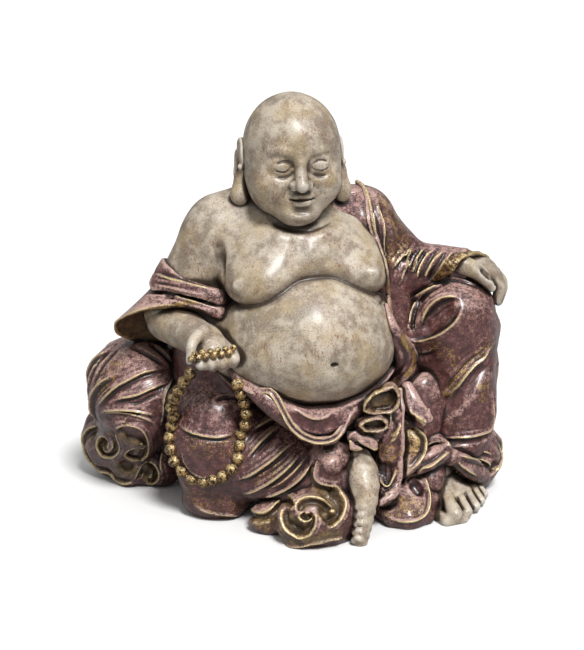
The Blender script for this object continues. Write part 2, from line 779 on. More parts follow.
def head():
    def face(across, ahead, height):
        """A point of the face: how far beside its middle, how far before its front, and how high."""
        return (HEAD_CENTRE[0] + across, FACE_FRONT - ahead, height)

    clay = Clay((-34, -54, 172), (34, 24, 252), FINE)
    clay.add(ellipsoid(HEAD_CENTRE, CRANIUM_RADII))
    clay.add(ellipsoid(moved(HEAD_CENTRE, 0, -4, -16), JAW_RADII), 6)
    for side in (-1, 1):
        clay.add(ellipsoid(moved(HEAD_CENTRE, side * 13, -20, -17), (12, 10, 12)), 6)
        clay.cut(ellipsoid(face(side * EYE_OUT, 1.5, EYE_HEIGHT + 0.5), (9, 5, 6)), 5)
        clay.touch(ball(face(side * EYE_OUT, -8.4, EYE_HEIGHT - 0.8), 7.8), 1.6)
    clay.add(ellipsoid(moved(HEAD_CENTRE, 0, -22, -33), (12, 9, 8)), 7)
    clay.cut(ellipsoid(moved(HEAD_CENTRE, 0, -34, -29.5), (8, 4.5, 2.4)), 4)
    nose = [face(0, -2.6, 221), face(0, -0.4, 215), face(0, 2.4, 208.5), face(0, 4.4, 205)]
    clay.touch(tube(nose, [2.4, 2.7, 3.4, 4.0]), 3.0)
    for side in (-1, 1):
        clay.touch(ball(face(side * 4.3, 1.6, 204.2), 2.9), 1.4)
        clay.nick(ellipsoid(face(side * 2.6, 4.4, 201.6), (1.2, 1.6, 1.3)), 0.6)
        for draw, path, *shape in (
            (clay.ridge, BROW, 2.2, 0.9, 2.4),
            (clay.crease, LID_FOLD, 0.7, 0.8, 0.6),
            (clay.crease, LID_LINE, 0.6, 1.1, 0.5),
            (clay.ridge, LID_LINE, 0.5, 0.0, 0.8),
            (clay.crease, LOWER_LID, 1.0, 0.5, 1.2),
            (clay.crease, CHEEK_FOLD, 1.6, 0.8, 2.0),
        ):
            draw(mirrored(path, side), *shape, eye=FRONT)
    for draw, path, *shape in (
        (clay.ridge, UPPER_LIP, 1.6, 1.2, 1.4),
        (clay.ridge, LOWER_LIP, 1.9, 1.4, 1.5),
        (clay.crease, MOUTH_LINE, 0.7, 1.5, 0.6),
        (clay.crease, LIP_GROOVE, 1.3, 0.6, 1.0),
        (clay.crease, CHIN_FOLD, 1.6, 0.7, 2.0),
        (clay.crease, UNDER_CHIN, 1.4, 0.9, 2.0),
    ):
        draw(path, *shape, eye=FRONT)
    return turned_head(clay)


def turned_head(clay):
    clay.turn = np.array(Euler((0, 0, math.radians(-HEAD_TURN))).to_matrix())
    clay.pivot = np.array(HEAD_CENTRE, float)
    return clay


HELIX = [
    (-12.5, 207), (-12.8, 214), (-9, 220.5), (-2.5, 222), (2.6, 218.5), (3.4, 211), (0.4, 204),
    (-4.5, 198),
]
ANTIHELIX = [(-7.5, 216.5), (-2.5, 215), (-1.2, 210), (-4, 204.5), (-8, 202)]


def ear(side):
    x = HEAD_CENTRE[0] + side * (CRANIUM_RADII[0] - 0.6)
    low, high = sorted((x - side * 4, x + side * 9))
    clay = Clay((low, -19, 180), (high, 8, 228), FINE * 0.85)
    clay.add(ellipsoid((x + side * 0.6, -5, 210), (3.4, 8.4, 11.5), (6, 0, 0)))
    clay.add(limb((x + side * 1.2, -6, 204), (x + side * 2.4, -9, 193), 4.0, 4.6), 3)
    clay.add(ellipsoid((x + side * 2.6, -9, 190), (5.3, 5.3, 6.6)), 3)
    clay.cut(ellipsoid((x + side * 4.4, -6.5, 209.5), (2.6, 4.0, 6.0), (8, 0, 0)), 1.5)
    eye = LEFT_SIDE if side > 0 else RIGHT_SIDE
    clay.ridge(HELIX, 1.8, 1.5, 1.2, eye=eye)
    clay.crease(shifted(HELIX, 3.0), 0.8, 0.9, 0.8, eye=eye)
    clay.ridge(ANTIHELIX, 1.4, 1.0, 1.2, eye=eye)
    clay.touch(ball((x + side * 2.6, -12.2, 208.5), 1.8), 1.5)
    return turned_head(clay)


# The right arm, its hand held palm up with the fingers curled over the beads
THUMB = [
    (203, 333, -41), (195.5, 338.5, -45.5), (191.5, 346, -49.5), (190.5, 354, -52), (189.5, 361, -53.5),
]
# Of each finger: its root, its knuckle and its tip in the photograph, and its radius
FINGERS = [
    ((201.5, 360), (200, 364.5), (202.5, 366), 2.7),
    ((212, 356.5), (211, 363.5), (213, 367), 3.1),
    ((223, 354), (222, 362), (223.5, 366.5), 3.2),
    ((233, 352), (233, 359), (233, 363), 3.1),
]
FINGER_DEPTH = -54.5


def right_arm():
    clay = Clay((-90, -68, 86), (-26, 22, 136), FINE)
    wrist = deep(205.5, 343.5, -36)
    clay.add(limb(moved(RIGHT_ELBOW, -2, -4, -4), wrist, 13.5, 10))
    clay.add(limb(wrist, deep(209, 350, -42), 10, 8.5), 4)
    clay.add(ellipsoid(deep(215, 350.5, -43), (12, 9, 7.5), (0, 12, -8)), 4)
    clay.add(limb(deep(204, 361, -46), deep(231, 356, -46), 5.5, 6), 3)
    clay.nick(ellipsoid(deep(204, 341, -52), (4.6, 5.5, 4.4)), 3)
    clay.touch(rope(THUMB, (5.0, 4.0, 3.3, 2.8, 2.0)), 2.0)
    clay.add(limb(deep(201, 364, -53), deep(233, 358.5, -53), 3.0, 4.0), 2.5)
    for root, knuckle, tip, radius in FINGERS:
        line = [(*root, FINGER_DEPTH + 6), (*knuckle, FINGER_DEPTH), (*tip, FINGER_DEPTH + 4)]
        clay.touch(rope(line, (radius, radius * 1.06, radius * 0.9), 1.2), 1.6)
    return clay


# The left hand, hung over the raised knee
LEFT_THUMB = [(464, 265, -25), (475, 270.5, -28), (484, 278, -30), (491, 287, -30)]
# Of each finger: its knuckle and its tip in the photograph, and its depth
LEFT_FINGERS = [
    ((491, 273), (496.5, 300), -25),
    ((494.5, 275), (498, 301), -19),
    ((496, 275.5), (499, 298), -13),
    ((494, 273), (499, 293), -7),
]
THUMB_HOLLOW = [(480, 267), (488, 274), (494, 280)]


def left_hand():
    clay = Clay((90, -46, 100), (142, 10, 158), FINE)
    clay.add(limb(LEFT_WRIST, moved(LEFT_PALM, -2, 0, -1), 11, 8.5))
    clay.add(ellipsoid(deep(484, 270, -16), (10, 12, 7.5), (0, 34, -12)), 4)
    for knuckle, tip, depth in LEFT_FINGERS:
        middle = (max(knuckle[0], tip[0]) + 2.5, (knuckle[1] + tip[1]) / 2)
        line = [(*knuckle, depth + 2), (*middle, depth), (*tip, depth)]
        clay.touch(rope(line, (4.3, 3.9, 3.0), 1.5), 1.0)
    clay.touch(rope(LEFT_THUMB, (6.0, 4.8, 3.1)), 1.5)
    clay.crease(THUMB_HOLLOW, 2.2, 2.6, 1.4)
    return clay


# The left foot, flat on the ground
INSTEP = [(431, 462, 26), (437, 472, 15.0), (444, 482, 11.0), (452, 493, 8.0)]
SOLE = [(435, 514, 2), (447, 521, 2), (462, 518, 2)]
# Of each toe: its root and its tip in the photograph, and its radius
TOES = [
    ((444, 492), (455, 514), 4.7),
    ((456, 489), (467, 511.5), 3.4),
    ((464, 486), (475, 506.5), 3.2),
    ((470, 483), (480.5, 500.5), 3.0),
    ((475, 481), (484, 494), 2.8),
]


def left_foot():
    clay = Clay((64, -94, 0), (124, -22, 42), FINE)
    clay.add(tube(posts(INSTEP), [12, 12.5, 11.5, 9]))
    clay.add(tube(posts([(449, 499, 6.5), (472, 487, 5.5)]), [6.8, 5.6]), 4)
    clay.add(ellipsoid(high(438, 497, 7), (9, 13, 8)), 5)
    for root, tip, radius in TOES:
        middle = between(root, tip, 0.55)
        toe = posts([(*root, radius + 7.5), (*middle, radius + 4.6), (*tip, radius + 1.2)])
        clay.touch(tube(toe, [radius * 0.9, radius * 0.84, radius]), 0.8)
        nail = toe[2] + unit(toe[2] - toe[0]) * radius * 0.45 + (0, 0, radius * 0.66)
        clay.touch(ellipsoid(nail, (radius * 0.56, radius * 0.56, 0.9), (20, 0, 20)), 0.2)
    clay.add(tube(posts(SOLE), 4.0), 2)
    return clay


# The right foot, hung down in front of the folded leg, its toes curled one under another
RIGHT_FOOT = [(359, 460, -62), (362, 474, -69), (364, 488, -75), (365, 500, -79)]
RIGHT_FOOT_TIP = [(365, 500, -80), (363, 520, -84.5), (360, 541, -89)]


def right_foot():
    clay = Clay((2, -100, 0), (50, -46, 70), FINE)
    clay.add(rope(RIGHT_FOOT, (7.6, 9.6, 9.2, 7.4)))
    clay.add(rope(RIGHT_FOOT_TIP, (6.4, 5.4, 3.8)), 2)
    for i in range(5):
        drop = 8.0 * i
        depth = -83.5 - 1.6 * i
        toe = [
            (357.5 - 0.6 * i, 508 + drop, depth + 1),
            (364 - 1.2 * i, 506.5 + drop, depth - 1.2),
            (371 - 1.9 * i, 511 + drop, depth),
            (370 - 1.9 * i, 515.5 + drop, depth + 2),
        ]
        clay.touch(rope(toe, (2.6, 3.2 - 0.15 * i, 2.3), 1.2), 0.5)
    return clay


# The rolled sleeve round the right arm
BAND_LOW = between(RIGHT_ELBOW, RIGHT_SHOULDER, 0.18)
BAND_HIGH = between(RIGHT_ELBOW, RIGHT_SHOULDER, 0.46)
UP_THE_ARM = np.subtract(RIGHT_SHOULDER, RIGHT_ELBOW)
BAND_TOP_EDGE = [
    (150, 276), (154, 274.5), (160, 275), (167, 277.5), (180, 281), (196, 285.5), (210, 288.5),
    (221, 289),
]
BAND_RIDGE = [(147, 289.5), (153, 287), (167, 287.5), (182, 290), (201, 294.5), (214, 298)]
BAND_SEAM = [
    (137, 297), (146, 292.5), (158, 292), (172, 293.5), (186, 296), (201, 300), (213, 304), (224, 306.5),
]
BAND_FRONT = [
    (182, 287.5, -10), (199, 291.5, -17), (212, 295.5, -20.5), (221, 298, -20.5), (230, 299, -14),
]
CUFF_FRONT = [(180, 300, -12), (198, 304.5, -17.5), (212, 310, -21.5), (221, 313, -22.5), (230, 312, -15)]
CUFF_AXIS = (-0.12, -0.68, -0.72)
CUFF_FOOT = (-72.4, 4, 112.4)
CUFF_FLAP_START = (-62, 0, 0)  # the cuff's rim is gilded as far as its flap


def sleeve_band():
    clay = Clay((-98, -34, 108), (-30, 44, 158), MEDIUM)
    clay.add(limb(moved(BAND_LOW, 0.2, 0, 0), moved(BAND_HIGH, -0.4, 0, 0), 19.8, 19.2))
    clay.cut(beyond(moved(BAND_HIGH, 0, 0, 0.5), UP_THE_ARM), 2)
    clay.cut(beyond(moved(BAND_LOW, 0, 0, -2), -UP_THE_ARM), 2)
    front = course(BAND_FRONT)
    clay.add(ribbon(front, PHOTO.up, graded([4.6, 5.2, 5.0, 4.8, 4.4], len(front)), 3.4), 3)
    clay.fold(BAND_TOP_EDGE, 1.7, 1.2, -1, 1.4, 0.9)
    clay.fold(BAND_RIDGE, 1.8, 0.9, gold=0.2)
    clay.fold(shifted(BAND_RIDGE, -6), 1.3, 0.5)
    clay.fold(shifted(BAND_SEAM, -2), 1.8, 1.0, 1, 2.4)
    return clay


def sleeve_cuff():
    clay = Clay((-116, -44, 80), (-26, 50, 140), MEDIUM)
    clay.add(limb(moved(BAND_LOW, 1, 0, 0), np.add(CUFF_FOOT, np.multiply(CUFF_AXIS, 8)), 17.6, 33))
    clay.cut(beyond(moved(BAND_LOW, 0, 0, 1), UP_THE_ARM), 2)
    clay.cut(beyond(CUFF_FOOT, CUFF_AXIS), 0.8)
    hollow = limb(moved(BAND_LOW, 0, 0, -8), np.add(CUFF_FOOT, np.multiply(CUFF_AXIS, 10)), 14, 32)
    clay.cut(hollow, 0.8)
    clay.paint("lining", hollow, 1.0, 0.8)
    front = course(CUFF_FRONT)
    widths = graded([3.2, 3.8, 4.3, 4.2, 3.4], len(front))
    clay.add(ribbon(front, PHOTO.up, widths, 3.0), 2)
    clay.fold(shifted(BAND_SEAM, 3), 1.9, 1.1, -1, 2.2, 0.2)
    clay.fold(shifted(BAND_SEAM, 8), 1.5, 0.6)
    clay.paint("gild", both(slab(CUFF_FOOT, CUFF_AXIS, 1.0), beyond(CUFF_FLAP_START, (-1, 0, 0))), 1.0, 0.8)
    clay.paint("gild", tube(front - PHOTO.up * widths[:, None], 1.2), 1.0, 0.8)
    return clay


# The robe on the left: shoulder, sleeve and the raised knee
SHOULDER_FOLDS = [
    [(366, 191), (371, 207), (373, 218), (377, 240), (383, 258), (388, 276), (391, 296)],
    [(377, 199), (381, 214), (384, 229), (384, 258), (388, 272)],
]
SLEEVE_GATHERS = [
    [(409, 244), (401, 254), (395, 263), (391, 272)],
    [(417, 247), (407, 257), (403, 270), (399, 288)],
    [(426, 248), (417, 259), (410, 276)],
    [(436, 248), (427, 259), (420, 271), (416, 283)],
    [(446, 249), (438, 259), (430, 271), (423, 283)],
    [(455, 249), (449, 259), (441, 270), (435, 280)],
]
SLEEVE_BACK_FOLDS = [
    [(44, 158), (60, 150), (74, 142), (86, 137)],
    [(52, 144), (66, 136), (80, 130)],
    [(60, 128), (70, 120), (78, 108)],
]
SHOULDER_BROCADE = [(388, 206), (396, 218), (401, 232), (400, 246), (392, 252)]
SIDE_CLOTH = (58, -8, 112)
SIDE_CLOTH_FOOT = (62, -22, 78)


def robe_left_arm():
    clay = Clay((22, -52, 62), (126, 38, 200), MEDIUM)
    clay.add(ball(LEFT_SHOULDER, 20.5))
    clay.add(limb(LEFT_SHOULDER, moved(LEFT_ELBOW, 1, 0, 1), 20, 20), 6)
    clay.add(limb(moved(LEFT_ELBOW, 0, 4, -4), moved(LEFT_ELBOW, -2, 6, -36), 18, 16), 6)
    clay.add(limb(moved(LEFT_SHOULDER, 2, -6, -8), SIDE_CLOTH, 19, 17), 6)
    clay.add(limb(SIDE_CLOTH, SIDE_CLOTH_FOOT, 17, 13), 4)
    clay.add(limb(moved(NECK, 4, 0, -13), LEFT_SHOULDER, 20, 20.5), 4)
    clay.add(limb(moved(LEFT_ELBOW, 2, -2, 0), moved(LEFT_WRIST, 0, 0, -1), 19, 13), 4)
    clay.cut(beyond(moved(LEFT_WRIST, 4, -2, 0), np.subtract(LEFT_WRIST, LEFT_ELBOW)), 1)
    clay.folds(SHOULDER_FOLDS, 2.0, 1.6, -1, 2.0, 0.5)
    clay.folds(SLEEVE_GATHERS, 2.2, 1.9, -1, 2.8, 0.4)
    clay.folds(SLEEVE_BACK_FOLDS, 2.4, 1.8, 1, 2.0, 0.3, eye=BACK)
    clay.streak("brocade", SHOULDER_BROCADE, 6, 1.0, 5)
    return clay


CUFF_RIM = [
    (436, 279, -21), (445, 271, -28), (451, 263.5, -30), (457, 258, -28), (467, 254.5, -23),
    (478, 254.5, -16), (486, 259.5, -9),
]
CUFF_RIM_BEHIND = [(112, -2, 137), (108, 3, 130), (101, 1, 124), (97, -8, 121)]


def left_cuff():
    clay = Clay((80, -46, 104), (130, 20, 166), FINE)
    front = [deep(*p) for p in CUFF_RIM]
    ring = smooth_path([*front, *CUFF_RIM_BEHIND, front[0]], 2.0)
    widths = graded([2.6, 4.2, 4.0, 2.8, 2.2, 2.0, 2.0, 2.0, 2.2, 2.6], len(ring))
    way = unit(np.subtract(LEFT_WRIST, LEFT_ELBOW))
    clay.add(ribbon(ring, way, widths, 1.9))
    clay.add(limb(LEFT_WRIST - way * 5, LEFT_WRIST - way * 1, 12.0, 11.5), 1.5)
    return clay


# Of each fold: its path, radius, rise, hollow side and gilding
KNEE_FOLDS = [
    ([(388, 299), (399, 298), (416, 292), (431, 284), (443, 279), (456, 278), (469, 282),
      (484, 289)], 1.4, 0.8, 1, 0.2),
    ([(397, 309), (409, 302), (422, 295), (434, 287), (446, 282)], 1.4, 1.2, 1, 0.6),
    ([(410, 336), (410, 323), (413, 309), (422, 296), (431, 287)], 1.4, 1.2, 1, 0.4),
    ([(420, 333), (423, 319), (430, 307), (441, 299), (454, 297), (463, 301)], 2.2, 1.8, 1, 0.6),
    ([(403, 336), (413, 341), (425, 340), (440, 334), (453, 324), (460, 314),
      (463, 304)], 1.8, 1.4, -1, 0.7),
    ([(496, 339), (484, 354), (472, 365), (462, 376), (450, 392), (443, 400)], 3.0, 2.8, -1, 0.7),
    ([(404, 345), (414, 352), (426, 352), (438, 347)], 1.6, 0.8, 1, 0.3),
]
KNEE_RECESS = [(418, 335), (428, 326), (440, 314), (454, 305)]
DRAPE_VALLEY = [(498, 352), (486, 366), (470, 384), (455, 399), (442, 412), (432, 421)]
DRAPE_EDGE = [
    (430, 439), (443, 439), (456, 438), (470, 437), (482, 434), (489, 431), (492, 424), (493, 411),
    (492, 395), (493, 380),
]
DRAPE_BROCADES = [[(492, 344), (480, 357), (468, 370), (456, 385), (447, 396)], [(485, 386), (483, 396)]]
KNEE_SPRIG = [(434, 346), (446, 352), (454, 360)]
KNEE_SIDE_FOLDS = [
    [(-34, 116), (-26, 98), (-18, 78), (-16, 58)],
    [(-14, 118), (-6, 98), (0, 76), (2, 54)],
    [(4, 108), (12, 88), (16, 68), (16, 48)],
    [(-30, 88), (-28, 70), (-30, 52)],
]
PLEAT_FLAP = [(408, 403), (409, 414), (415, 419), (423, 424), (431, 429)]
PLEAT_UNDER = [(404, 420), (413, 425), (421, 431), (425, 437)]


def robe_left_leg():
    clay = Clay((26, -66, 12), (136, 50, 140), MEDIUM)
    clay.add(ellipsoid(LEFT_KNEE, (26, 26, 28)))
    clay.add(limb((45, 15, 70), moved(LEFT_KNEE, -2, 4, -2), 31, 25), 5)
    clay.add(limb(moved(LEFT_KNEE, 2, -2, -16), moved(LEFT_ANKLE, 3, 6, 4), 24, 22), 6)
    clay.add(limb(moved(LEFT_KNEE, 4, 0, -30), moved(LEFT_ANKLE, 11, 4, 16), 16, 14), 6)
    clay.crease(KNEE_RECESS, 5.0, 5.0, 3.0)
    clay.crease(DRAPE_VALLEY, 5.0, 4.2, 4.0)
    clay.varied_folds(KNEE_FOLDS, 2.4)
    clay.fold(DRAPE_EDGE, 2.2, 1.8, 1, 3.0, 1.0)
    clay.fold(PLEAT_FLAP, 2.2, 1.8, 1, 2.6, 0.9)
    clay.crease(PLEAT_UNDER, 3.0, 3.0, 2.0)
    clay.folds(KNEE_SIDE_FOLDS, 2.4, 1.8, -1, 2.0, 0.4, eye=LEFT_SIDE)
    clay.streak("brocade", KNEE_SPRIG, 3, 0.8, 3)
    for path in DRAPE_BROCADES:
        clay.streak("brocade", path, 3, 1.0, 3)
    return clay


# The folded right leg under the robe
RIGHT_LEG_FOLDS = [
    ([(189, 388), (204, 385), (220, 386), (232, 388)], 1.6, 0.8, 0, 0.3),
    ([(214, 399), (223, 395), (234, 395)], 1.4, 0.9, 1, 0.2),
    ([(175, 422), (182, 428), (192, 433), (208, 437), (223, 437), (239, 432)], 1.5, 1.2, 1, 1.0),
    ([(277, 417), (264, 424), (252, 431)], 1.6, 1.5, -1, 0.8),
    ([(281, 425), (268, 436), (257, 447), (246, 460)], 2.0, 1.9, -1, 0.8),
    ([(296, 441), (285, 450), (275, 459), (262, 468), (248, 476), (231, 481)], 2.2, 2.4, -1, 1.0),
    ([(304, 449), (296, 460), (284, 472), (268, 483), (251, 491), (233, 495)], 2.0, 2.2, -1, 0.9),
    ([(310, 452), (302, 464), (291, 476), (279, 485), (262, 492)], 1.4, 1.2, -1, 0.4),
    ([(316, 455), (309, 469), (299, 481), (288, 489), (272, 495), (254, 499)], 1.8, 2.0, -1, 0.8),
    ([(180, 447), (185, 464), (194, 474), (205, 478), (217, 474)], 1.8, 1.0, 1, 0.3),
    ([(190, 500), (198, 507), (210, 512), (229, 514), (249, 515)], 1.8, 1.2, 0, 0.9),
]
LEG_BROCADES = [
    [(194, 444), (206, 449), (220, 449), (232, 443)],
    [(190, 488), (203, 502), (222, 505), (244, 504)],
    [(262, 478), (278, 468)],
]


def robe_right_leg():
    clay = Clay((-86, -82, 0), (40, 26, 92), MEDIUM)
    clay.add(ellipsoid(RIGHT_KNEE, (29, 28, 35)))
    clay.add(limb(moved(RIGHT_KNEE, 8, -2, -10), RIGHT_ANKLE, 29, 23), 4)
    clay.add(ellipsoid(moved(RIGHT_ANKLE, -4, -12, 19), (12, 11, 10)), 2)
    clay.add(ellipsoid(high(216, 500, 9), (20, 12, 12), (0, 0, -20)), 6)
    clay.add(ellipsoid((-50, -22, 24), (23, 14, 16)), 8)
    clay.varied_folds(RIGHT_LEG_FOLDS, 2.0)
    for path in LEG_BROCADES:
        clay.streak("brocade", path, 5, 0.55, 5)
    return clay


THIGH_FOLDS = [
    ([(171, 367), (158, 370), (144, 373), (130, 380), (116, 388), (105, 398), (98, 408),
      (96, 416)], 1.6, 1.3, -1, 0.9),
    ([(171, 381), (161, 385), (147, 391), (136, 396), (122, 398.5), (110, 402)], 1.7, 1.5, -1, 0.9),
    ([(160, 389), (148, 395), (137, 400), (126, 402)], 1.2, 0.7, -1, 0.4),
    ([(96, 417), (105, 411.5), (119, 410), (133, 411), (147, 413.5), (159, 417)], 1.7, 1.7, 1, 0.6),
    ([(180, 370), (172, 381), (166, 392), (163.5, 402), (162.5, 416), (158, 436)], 1.6, 1.6, -1, 0.9),
    ([(117, 343), (101, 357), (91, 374), (88, 391), (89.5, 406)], 1.4, 0.8, -1, 0.4),
    ([(122, 345), (106, 359), (96, 376), (93, 392)], 1.2, 0.6, -1, 0.3),
    ([(150, 342), (164, 352), (174, 364)], 1.6, 0.9, 1, 0.3),
    ([(128, 345), (140, 348), (156, 357), (168, 366)], 1.4, 0.5, 1, 0.2),
]
THIGH_SIDE_FOLDS = [
    [(8, 84), (20, 70), (28, 54), (30, 40)],
    [(24, 94), (38, 80), (46, 62), (48, 44)],
    [(44, 92), (56, 76), (60, 58)],
]
THIGH_BROCADE = [(116, 364), (107, 376), (102, 390)]


def robe_right_thigh():
    clay = Clay((-120, -18, 0), (-20, 68, 104), MEDIUM)
    clay.add(ellipsoid(moved(RIGHT_THIGH, 1, 0, -1), (30, 33, 33)))
    clay.add(limb(RIGHT_THIGH, moved(RIGHT_THIGH, 40, 6, -14), 28, 30), 6)
    clay.varied_folds(THIGH_FOLDS, 2.2)
    clay.folds(THIGH_SIDE_FOLDS, 2.4, 1.8, -1, 2.0, 0.4, eye=RIGHT_SIDE)
    clay.streak("brocade", THIGH_BROCADE, 5, 0.6, 5)
    return clay


# The cloth slung under the belly, and its rolled edge
WAIST_EDGE_UP = (-0.1, -0.42, 0.9)
WAIST_BAND = [
    (232, 366, -38), (243, 380, -46), (255, 390, -54), (270, 402, -60), (283, 411, -63), (297, 418, -65),
    (313, 421, -66), (330, 420, -66), (344, 414, -64), (357, 405, -60), (370, 397, -56),
]
WAIST_BAND_RADII = (4, 5, 5.5, 6.5, 7.5, 8.2, 8.6, 8.2, 7.2, 6.2, 5.5)
WAIST_HOLLOW = [(286, 411), (297, 421), (309, 427), (322, 428), (334, 423), (343, 415)]
WAIST_HEM = [
    (236, 372, -44), (243, 386, -52), (252, 391, -57), (262, 390.5, -60), (270, 391, -63),
    (276, 397, -65), (280, 405, -67), (285, 414, -69), (291, 425, -71), (300, 434, -73), (312, 440, -74),
    (322, 441, -74), (332, 439, -74), (340, 432, -73), (345, 423, -71), (349, 414, -69), (355, 407, -66),
    (363, 402, -62),
]
WAIST_HEM_PATH = [(x, y) for x, y, depth in WAIST_HEM]


def waist_cloth():
    clay = Clay((-72, -92, 40), (70, 30, 124), MEDIUM)
    clay.add(ellipsoid(BELLY_CENTRE, grown(BELLY_RADII, 4)))
    clay.cut(beyond((3, -66, 77), WAIST_EDGE_UP), 1.5)
    clay.add(limb((-43, 0, 93), (-41, -3, 78), 26, 28), 4)
    clay.add(rope(WAIST_BAND, WAIST_BAND_RADII), 4)
    clay.crease(WAIST_HOLLOW, 4.5, 2.6, 3.0)
    clay.fold(shifted(WAIST_HOLLOW, -9), 1.2, 0.7)
    return clay


def waist_hem():
    clay = Clay((-70, -92, 40), (50, -30, 116), FINE)
    line = course(WAIST_HEM)
    outward = np.cross(unit(np.gradient(line, axis=0)), PHOTO.back)
    clay.add(ribbon(line, outward, graded([1.6, 2.4, 2.8, 2.0], len(line)), 1.8))
    clay.add(tube(line - PHOTO.back * 3, graded([1.6, 2.6, 3.0, 2.2], len(line))), 1.0)
    clay.fold(shifted(WAIST_HEM_PATH, 2.2), 0.9, 0.8, gold=0.8)
    clay.fold(shifted(WAIST_HEM_PATH, -2.2), 0.8, 0.6, 1, 0.8, 0.6)
    return clay


COLLAR = [
    (357, 183), (362, 186), (367, 198), (371, 226), (378, 246), (384, 263), (386, 278), (387.5, 296),
    (390, 315), (395, 328), (404, 338), (411, 349), (413, 361), (408, 372), (398, 381), (391, 388),
]
LINING = [(386, 306), (389, 320), (394, 334), (400, 346), (403, 358), (399, 370), (393, 380)]
COLLAR_BEND = 9  # the point of the collar from where the lining shows


def collar_hem():
    clay = Clay((8, -84, 58), (84, 10, 202), FINE)
    carriers = [parts[n][0] for n in ("body", "robe_left_arm", "robe_left_leg")]
    collar = Stroke(PHOTO, COLLAR, carriers, 1.2)
    across = np.cross(collar.normals, unit(np.gradient(collar.points, axis=0)))
    widths = graded([1.0, 2.3, 2.2, 2.0, 2.0, 2.4, 3.4, 3.0], len(collar.points))
    clay.add(ribbon(collar.points + collar.normals * 0.5, across, widths, 1.3))
    lining = Stroke(PHOTO, LINING, carriers, 0.8)
    clay.add(tube(lining.points, graded([1.8, 3.2, 5.0, 6.0, 5.0, 3.0], len(lining.points))), 2)
    clay.crease(shifted(COLLAR[COLLAR_BEND:], 7), 1.6, 1.4, 1.4)
    clay.streak("gild", COLLAR[COLLAR_BEND + 1:], 2.4, 1.0, 1.6)
    clay.crease(COLLAR[:COLLAR_BEND], 0.8, 0.9, 0.6)
    clay.streak("gild", shifted(COLLAR[:COLLAR_BEND], -2), 0.5, 0.8, 1.6)
    return clay


# The knotted sash
UPPER_LOOP = [
    (364, 408), (365.5, 401.5), (371, 395), (378.5, 390.5), (386, 387), (393, 386), (398, 393),
    (398, 402), (392, 409), (383, 411), (372, 412),
]
LOWER_LOOP = [
    (359.5, 423.5), (366, 419.5), (373, 417.5), (380, 417), (385.5, 420), (386.5, 424), (383, 427.5),
    (375, 429.5), (366, 428.5),
]
# Of each fold of the knot: its path and its hollow side
KNOT_FOLDS = [
    ([(399, 402), (394, 409.5), (388.5, 414), (383, 416)], 1),
    ([(401, 421), (396.5, 430), (390.5, 435.5), (383, 439)], 1),
    ([(400.5, 428), (395, 435), (389, 440.5), (381, 442.5)], 1),
    ([(362, 431), (368, 435.5), (374, 438.5), (383, 440)], 1),
    ([(390, 412), (391, 420), (388, 428)], -1),
]
TIE = [(353, 421, -66), (358, 422.5, -68), (364, 423, -68)]
UPPER_LEAF = [(346, 433.5, -66), (356, 438, -69), (366, 442, -70), (375, 445, -69)]
LOWER_LEAF = [(338, 443, -68), (346, 443.5, -71), (354, 446.5, -72), (362, 448, -71)]


def sash_loop(path, depth, gold):
    """A flat band bent into a loop and seen from its open side, lined at the back."""
    ring = smooth_path([deep(*p, depth) for p in path + path[:1]], 1.6)
    clay = Clay(ring.min(0) - 14, ring.max(0) + 14, FINE)
    across = PHOTO.back * 0.94 - PHOTO.up * 0.34
    clay.add(ribbon(ring - PHOTO.back * 2.5, across, 4.4, 1.2))
    inside = ellipsoid(ring.mean(0) - PHOTO.back * 6.5, (9, 3, 7))
    clay.add(inside, 1.0)
    clay.paint("lining", inside, 1.0, 3.0)
    clay.paint("gild", tube(ring - PHOTO.back * 2.5 + across * 4.4, 0.5), 0.75, 0.7)
    clay.paint("gild", tube(ring + PHOTO.up * 1.5, 2.6), gold, 0.8)
    return clay


def upper_loop():
    return sash_loop(UPPER_LOOP, -68, 0.7)


def lower_loop():
    return sash_loop(LOWER_LOOP, -71, 0.5)


def sash_knot():
    clay = Clay(moved(SASH_KNOT, -32, -20, -28), moved(SASH_KNOT, 24, 18, 20), FINE)
    clay.add(ellipsoid(deep(388, 420, -58), (9, 9, 14)))
    clay.add(ellipsoid(deep(372, 426, -57), (10, 8, 9)), 3)
    clay.add(tube(course(TIE), 2.6), 1.5)
    for line, widths in ((UPPER_LEAF, [2.4, 4.4, 3.6, 1.0]), (LOWER_LEAF, [1.6, 3.0, 2.4, 1.0])):
        leaf = course(line)
        halves = graded(widths, len(leaf))
        clay.add(ribbon(leaf, PHOTO.up, halves, 1.1), 0.4)
        clay.paint("gild", tube(leaf - PHOTO.up * halves[:, None], 1.0), 1.0, 0.8)
    for path, under in KNOT_FOLDS:
        clay.fold(path, 1.5, 1.6, under, 2.4, 1.0)
    return clay


TAIL_SPINE = [(389, 420, -60), (389, 442, -62), (388, 462, -64), (387, 480, -67), (386, 496, -71)]
TAIL_RIDGE = [
    (400.5, 390, -56), (402, 412, -62), (402, 430, -65), (401.5, 450, -67), (399.5, 466, -69),
    (398, 482, -71), (391, 496, -75), (381, 502, -77),
]
# Of each edge: its path, its hollow side and its gilding
TAIL_EDGES = [
    ([(374, 451), (376, 461), (377.5, 474), (382, 483), (388, 487), (393, 477), (397, 466),
      (399, 456)], -1, 0.9),
    ([(396, 486), (389, 492), (381, 495)], 1, 0.6),
]
TAIL_RECESS = [(386, 466), (388, 478)]
TAIL_BROCADE = [(379, 452), (386, 455), (394, 452)]


